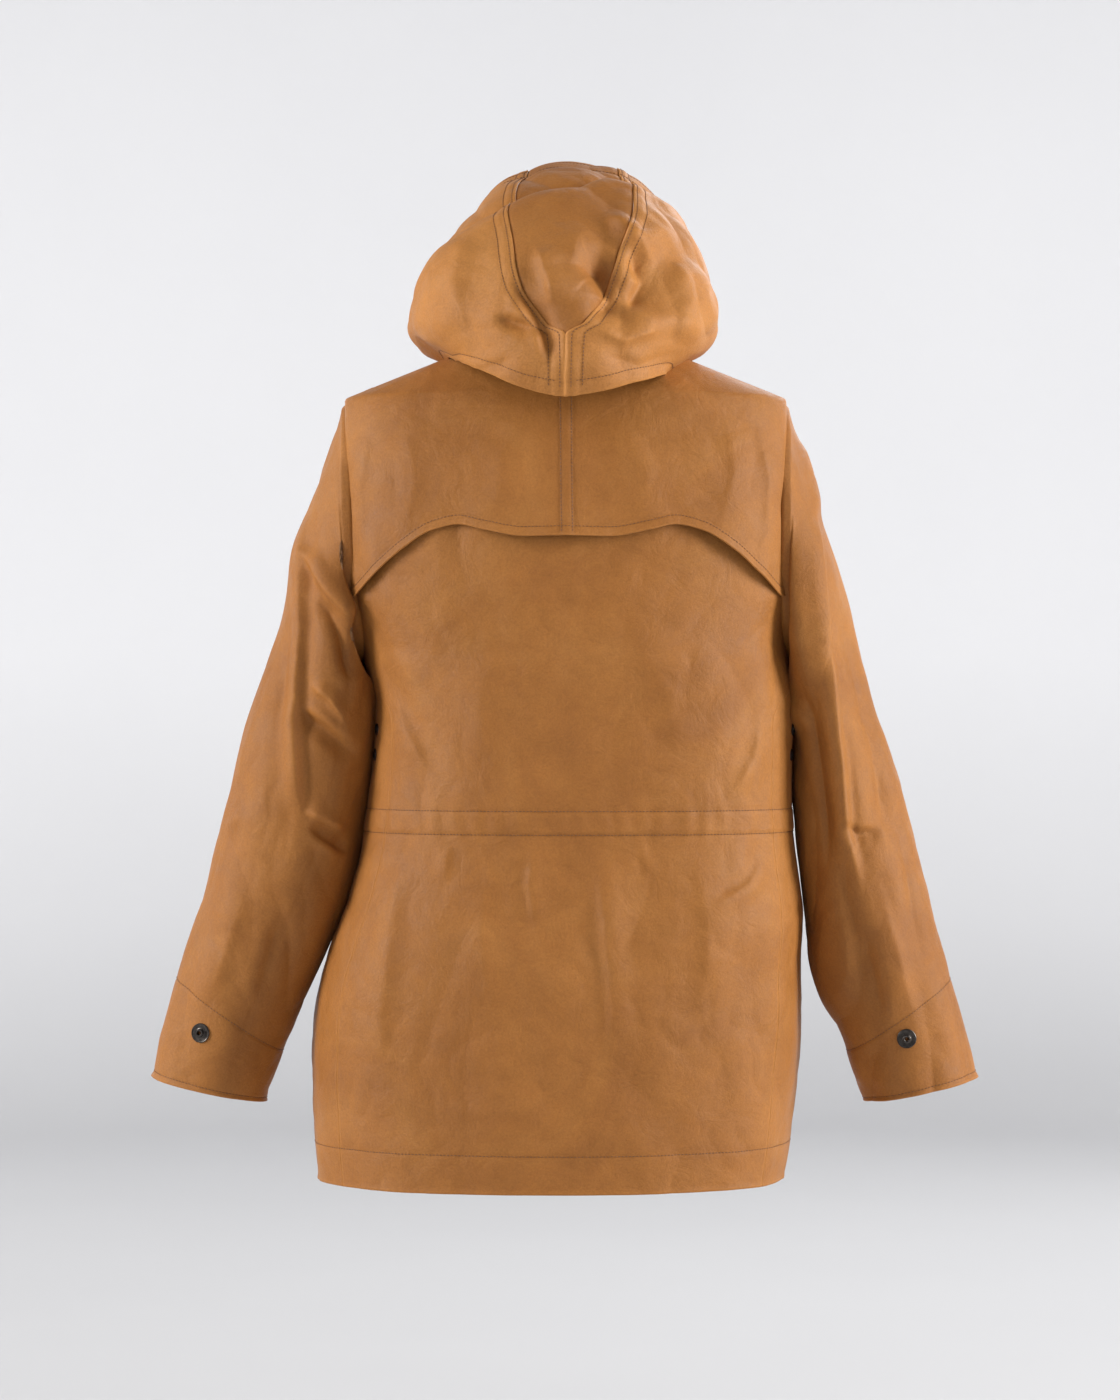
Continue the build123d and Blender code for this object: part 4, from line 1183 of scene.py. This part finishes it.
POCKET_X = (74.0, 194.0)
POCKET_Z = (-700.0, -496.0)
POCKET_OUT = 13.2
FLAP_X = (69.0, 199.0)
FLAP_Z = (-531.0, -466.0)
FLAP_OUT = 22.2


def pocket_panel(side):
    rows, columns = 90, 70
    r = np.linspace(0, 1, rows)[:, None]
    c = np.linspace(0, 1, columns)[None, :]
    edges = np.minimum(step(r, 0, 0.05), np.minimum(step(c, 0, 0.08), step(1 - c, 0, 0.08)))
    full = 1.2 + (POCKET_OUT - 1.8) * edges
    panel = front_patch(POCKET_X, POCKET_Z, full, rows, columns, side)
    belly = 0.8 * np.sin(pi * c) * np.sin(pi * r)
    return panel.push(belly * 0.3 + 0.7 * (noise_at(panel.rest, 50, 95 + side) - 0.8) * edges
                      + edge_relief(rows, columns, 125, 204) * 0.8)


def flap_panel(side):
    rows, columns = 50, 80
    r = np.linspace(0, 1, rows)[:, None]
    c = np.linspace(0, 1, columns)[None, :]
    closer = 1 - 0.6 * step(c, 0.74, 1.0)
    rise = 1.0 + (FLAP_OUT - 1.4) * step(1 - r, 0.0, 0.30) * closer
    panel = front_patch(FLAP_X, FLAP_Z, rise, rows, columns, side)
    unevenness = 0.6 * (noise_at(panel.rest, 45, 99 + side) - 0.8)
    return panel.push(unevenness + edge_relief(rows, columns, 150, 65) * 0.9)


for name, side in (("left", 1), ("right", -1)):
    pocket = pocket_panel(side)
    cloth_piece(f"{name}_pocket_cloth", [pocket], "coat", [f"{name}_pocket"])
    sewing(f"{name}_pocket_stitches", "coat", edge_lines(pocket, 125.0, 204.0))
    flap = flap_panel(side)
    cloth_piece(f"{name}_flap_cloth", [flap], f"{name}_flap", [f"{name}_pocket_flap"], thickness=1.6)
    sewing(f"{name}_flap_stitches", f"{name}_flap", edge_lines(flap, 150.0, 65.0))

# ---------------------------------------------------------------- eyelets under the arms
EYELET_TURN = radians(78)
EYELET_HEIGHTS = (-354.0, -378.0)
EYELET_RING = [
    (2.6, -0.6), (2.5, 0.4), (2.9, 1.1), (3.8, 1.5), (4.9, 1.25), (5.7, 0.5), (5.8, -0.2), (3.2, -0.6),
]
WASHER_RING = [(3.0, -2.8), (5.6, -2.8), (5.7, -2.1), (3.0, -2.0)]
for name, panel in fronts.items():
    side = 1 if name == "left" else -1
    for k, z in enumerate(EYELET_HEIGHTS):
        distance = np.linalg.norm(panel.rest - body_at(z, side * EYELET_TURN), axis=-1)
        i, j = np.unravel_index(np.argmin(distance), distance.shape)
        place = panel.at(float(i), float(j), lift=0.2)
        for node, outline in (("underarm_eyelets", EYELET_RING), ("underarm_washers", WASHER_RING)):
            ring = revolved(f"{name}_{node[9:-1]}_{k + 1}", outline, place, EYELET)
            nodes = [node] if (name, k) == ("left", 0) else []
            settle(ring, "coat", "eyelet_metal", *nodes)

# ---------------------------------------------------------------- materials of the CAD pieces that stay
for node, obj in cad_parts.items():
    if any(word in node for word in ("stud", "socket", "snap_cap", "rivet")):
        material = SNAP
    elif node in ("zip_slider", "zip_pull"):
        material = ZIP_METAL
    elif "zip" in node:
        material = TEETH
    else:
        continue
    obj.data.materials.clear()
    obj.data.materials.append(material)

# ---------------------------------------------------------------- stage, lights and camera
FLOOR_Z = -1.22
STAGE_RADIUS = 5.2
CAMERA_Y = 3.44
CAMERA_Z = -0.325
CAMERA_X = 0.005
VIEW_HEIGHT = 1.358


def studio():
    """A round pale stage: a flat floor that curves up into a wall all the way round."""
    outline = [(0.0, FLOOR_Z)] + [(STAGE_RADIUS - 1.2, FLOOR_Z)]
    outline += [(STAGE_RADIUS - 1.2 + 1.2 * sin(a), FLOOR_Z + 1.2 * (1 - cos(a)))
                for a in np.linspace(0.1, pi / 2, 14)]
    outline.append((STAGE_RADIUS, FLOOR_Z + 3.6))
    count = 96
    vertices = [(r * cos(2 * pi * k / count) / MM, r * sin(2 * pi * k / count) / MM, z / MM)
                for r, z in outline for k in range(count)]
    faces = []
    for ring in range(len(outline) - 1):
        for k in range(count):
            a, b = ring * count + k, ring * count + (k + 1) % count
            faces.append((a, b, b + count, a + count))
    stage = mesh_object("studio_floor", vertices, faces)
    material, tree, shader = shader_material("studio_paper")
    place = tree.nodes.new("ShaderNodeTexCoord").outputs["Object"]
    tone = noise_node(tree, place, 0.8, 3)
    paper = ramp_node(tree, tone, [(0.3, (0.86, 0.862, 0.880)), (0.7, (0.89, 0.892, 0.908))])
    height = tree.nodes.new("ShaderNodeSeparateXYZ")
    link(tree, place, height.inputs[0])
    # painted shade: the paper's colour is darker towards the floor and paler up the wall, standing for the
    # light falling off near the floor
    rise = maths(tree, "ADD", height.outputs[2], -FLOOR_Z)
    shade = ramp_node(tree, rise, [(0.0, grey(0.64)), (0.40, grey(0.79)), (1.0, grey(0.90))])
    link(tree, mix_node(tree, "MULTIPLY", 1.0, paper, shade), shader.inputs["Base Color"])
    shader.inputs["Roughness"].default_value = 0.9
    stage.data.materials.append(material)


def area_light(name, place, target, size, power, colour=(1, 1, 1)):
    lamp = bpy.data.lights.new(name, "AREA")
    lamp.shape = "RECTANGLE"
    lamp.size, lamp.size_y = size
    lamp.energy = power
    lamp.color = colour
    obj = bpy.data.objects.new(name, lamp)
    obj.location = place
    obj.rotation_euler = (Vector(target) - Vector(place)).to_track_quat("-Z", "Y").to_euler()
    bpy.context.scene.collection.objects.link(obj)


studio()
area_light("left_light", (3.1, 1.0, 0.8), (0, 0, -0.25), (1.2, 2.2), 120, (1.0, 0.985, 0.96))
area_light("right_light", (-3.1, 0.9, 0.6), (0, 0, -0.3), (1.1, 2.2), 140, (1.0, 0.99, 0.97))
area_light("front_light", (-1.2, -2.6, 1.4), (0, 0, -0.3), (1.6, 1.6), 33)
for side in (-1, 1):
    area_light(f"wall_light_{side + 2}", (side * 2.6, -1.9, 0.9), (side * 0.6, -5.2, -0.3), (1.6, 1.6), 30)
world = bpy.data.worlds.new("studio_air")
world.use_nodes = True
world.node_tree.nodes["Background"].inputs["Color"].default_value = (0.86, 0.87, 0.91, 1)
world.node_tree.nodes["Background"].inputs["Strength"].default_value = 0.30
bpy.context.scene.world = world
bpy.context.scene.view_settings.view_transform = "Standard"

camera = bpy.data.objects.new("camera", bpy.data.cameras.new("camera"))
camera.location = (CAMERA_X, CAMERA_Y, CAMERA_Z)
camera.rotation_euler = (pi / 2, 0, pi)
camera.data.sensor_fit = "VERTICAL"
camera.data.angle_y = 2 * atan2(VIEW_HEIGHT / 2, CAMERA_Y)
bpy.context.scene.collection.objects.link(camera)
bpy.context.scene.camera = camera
bpy.context.view_layer.update()
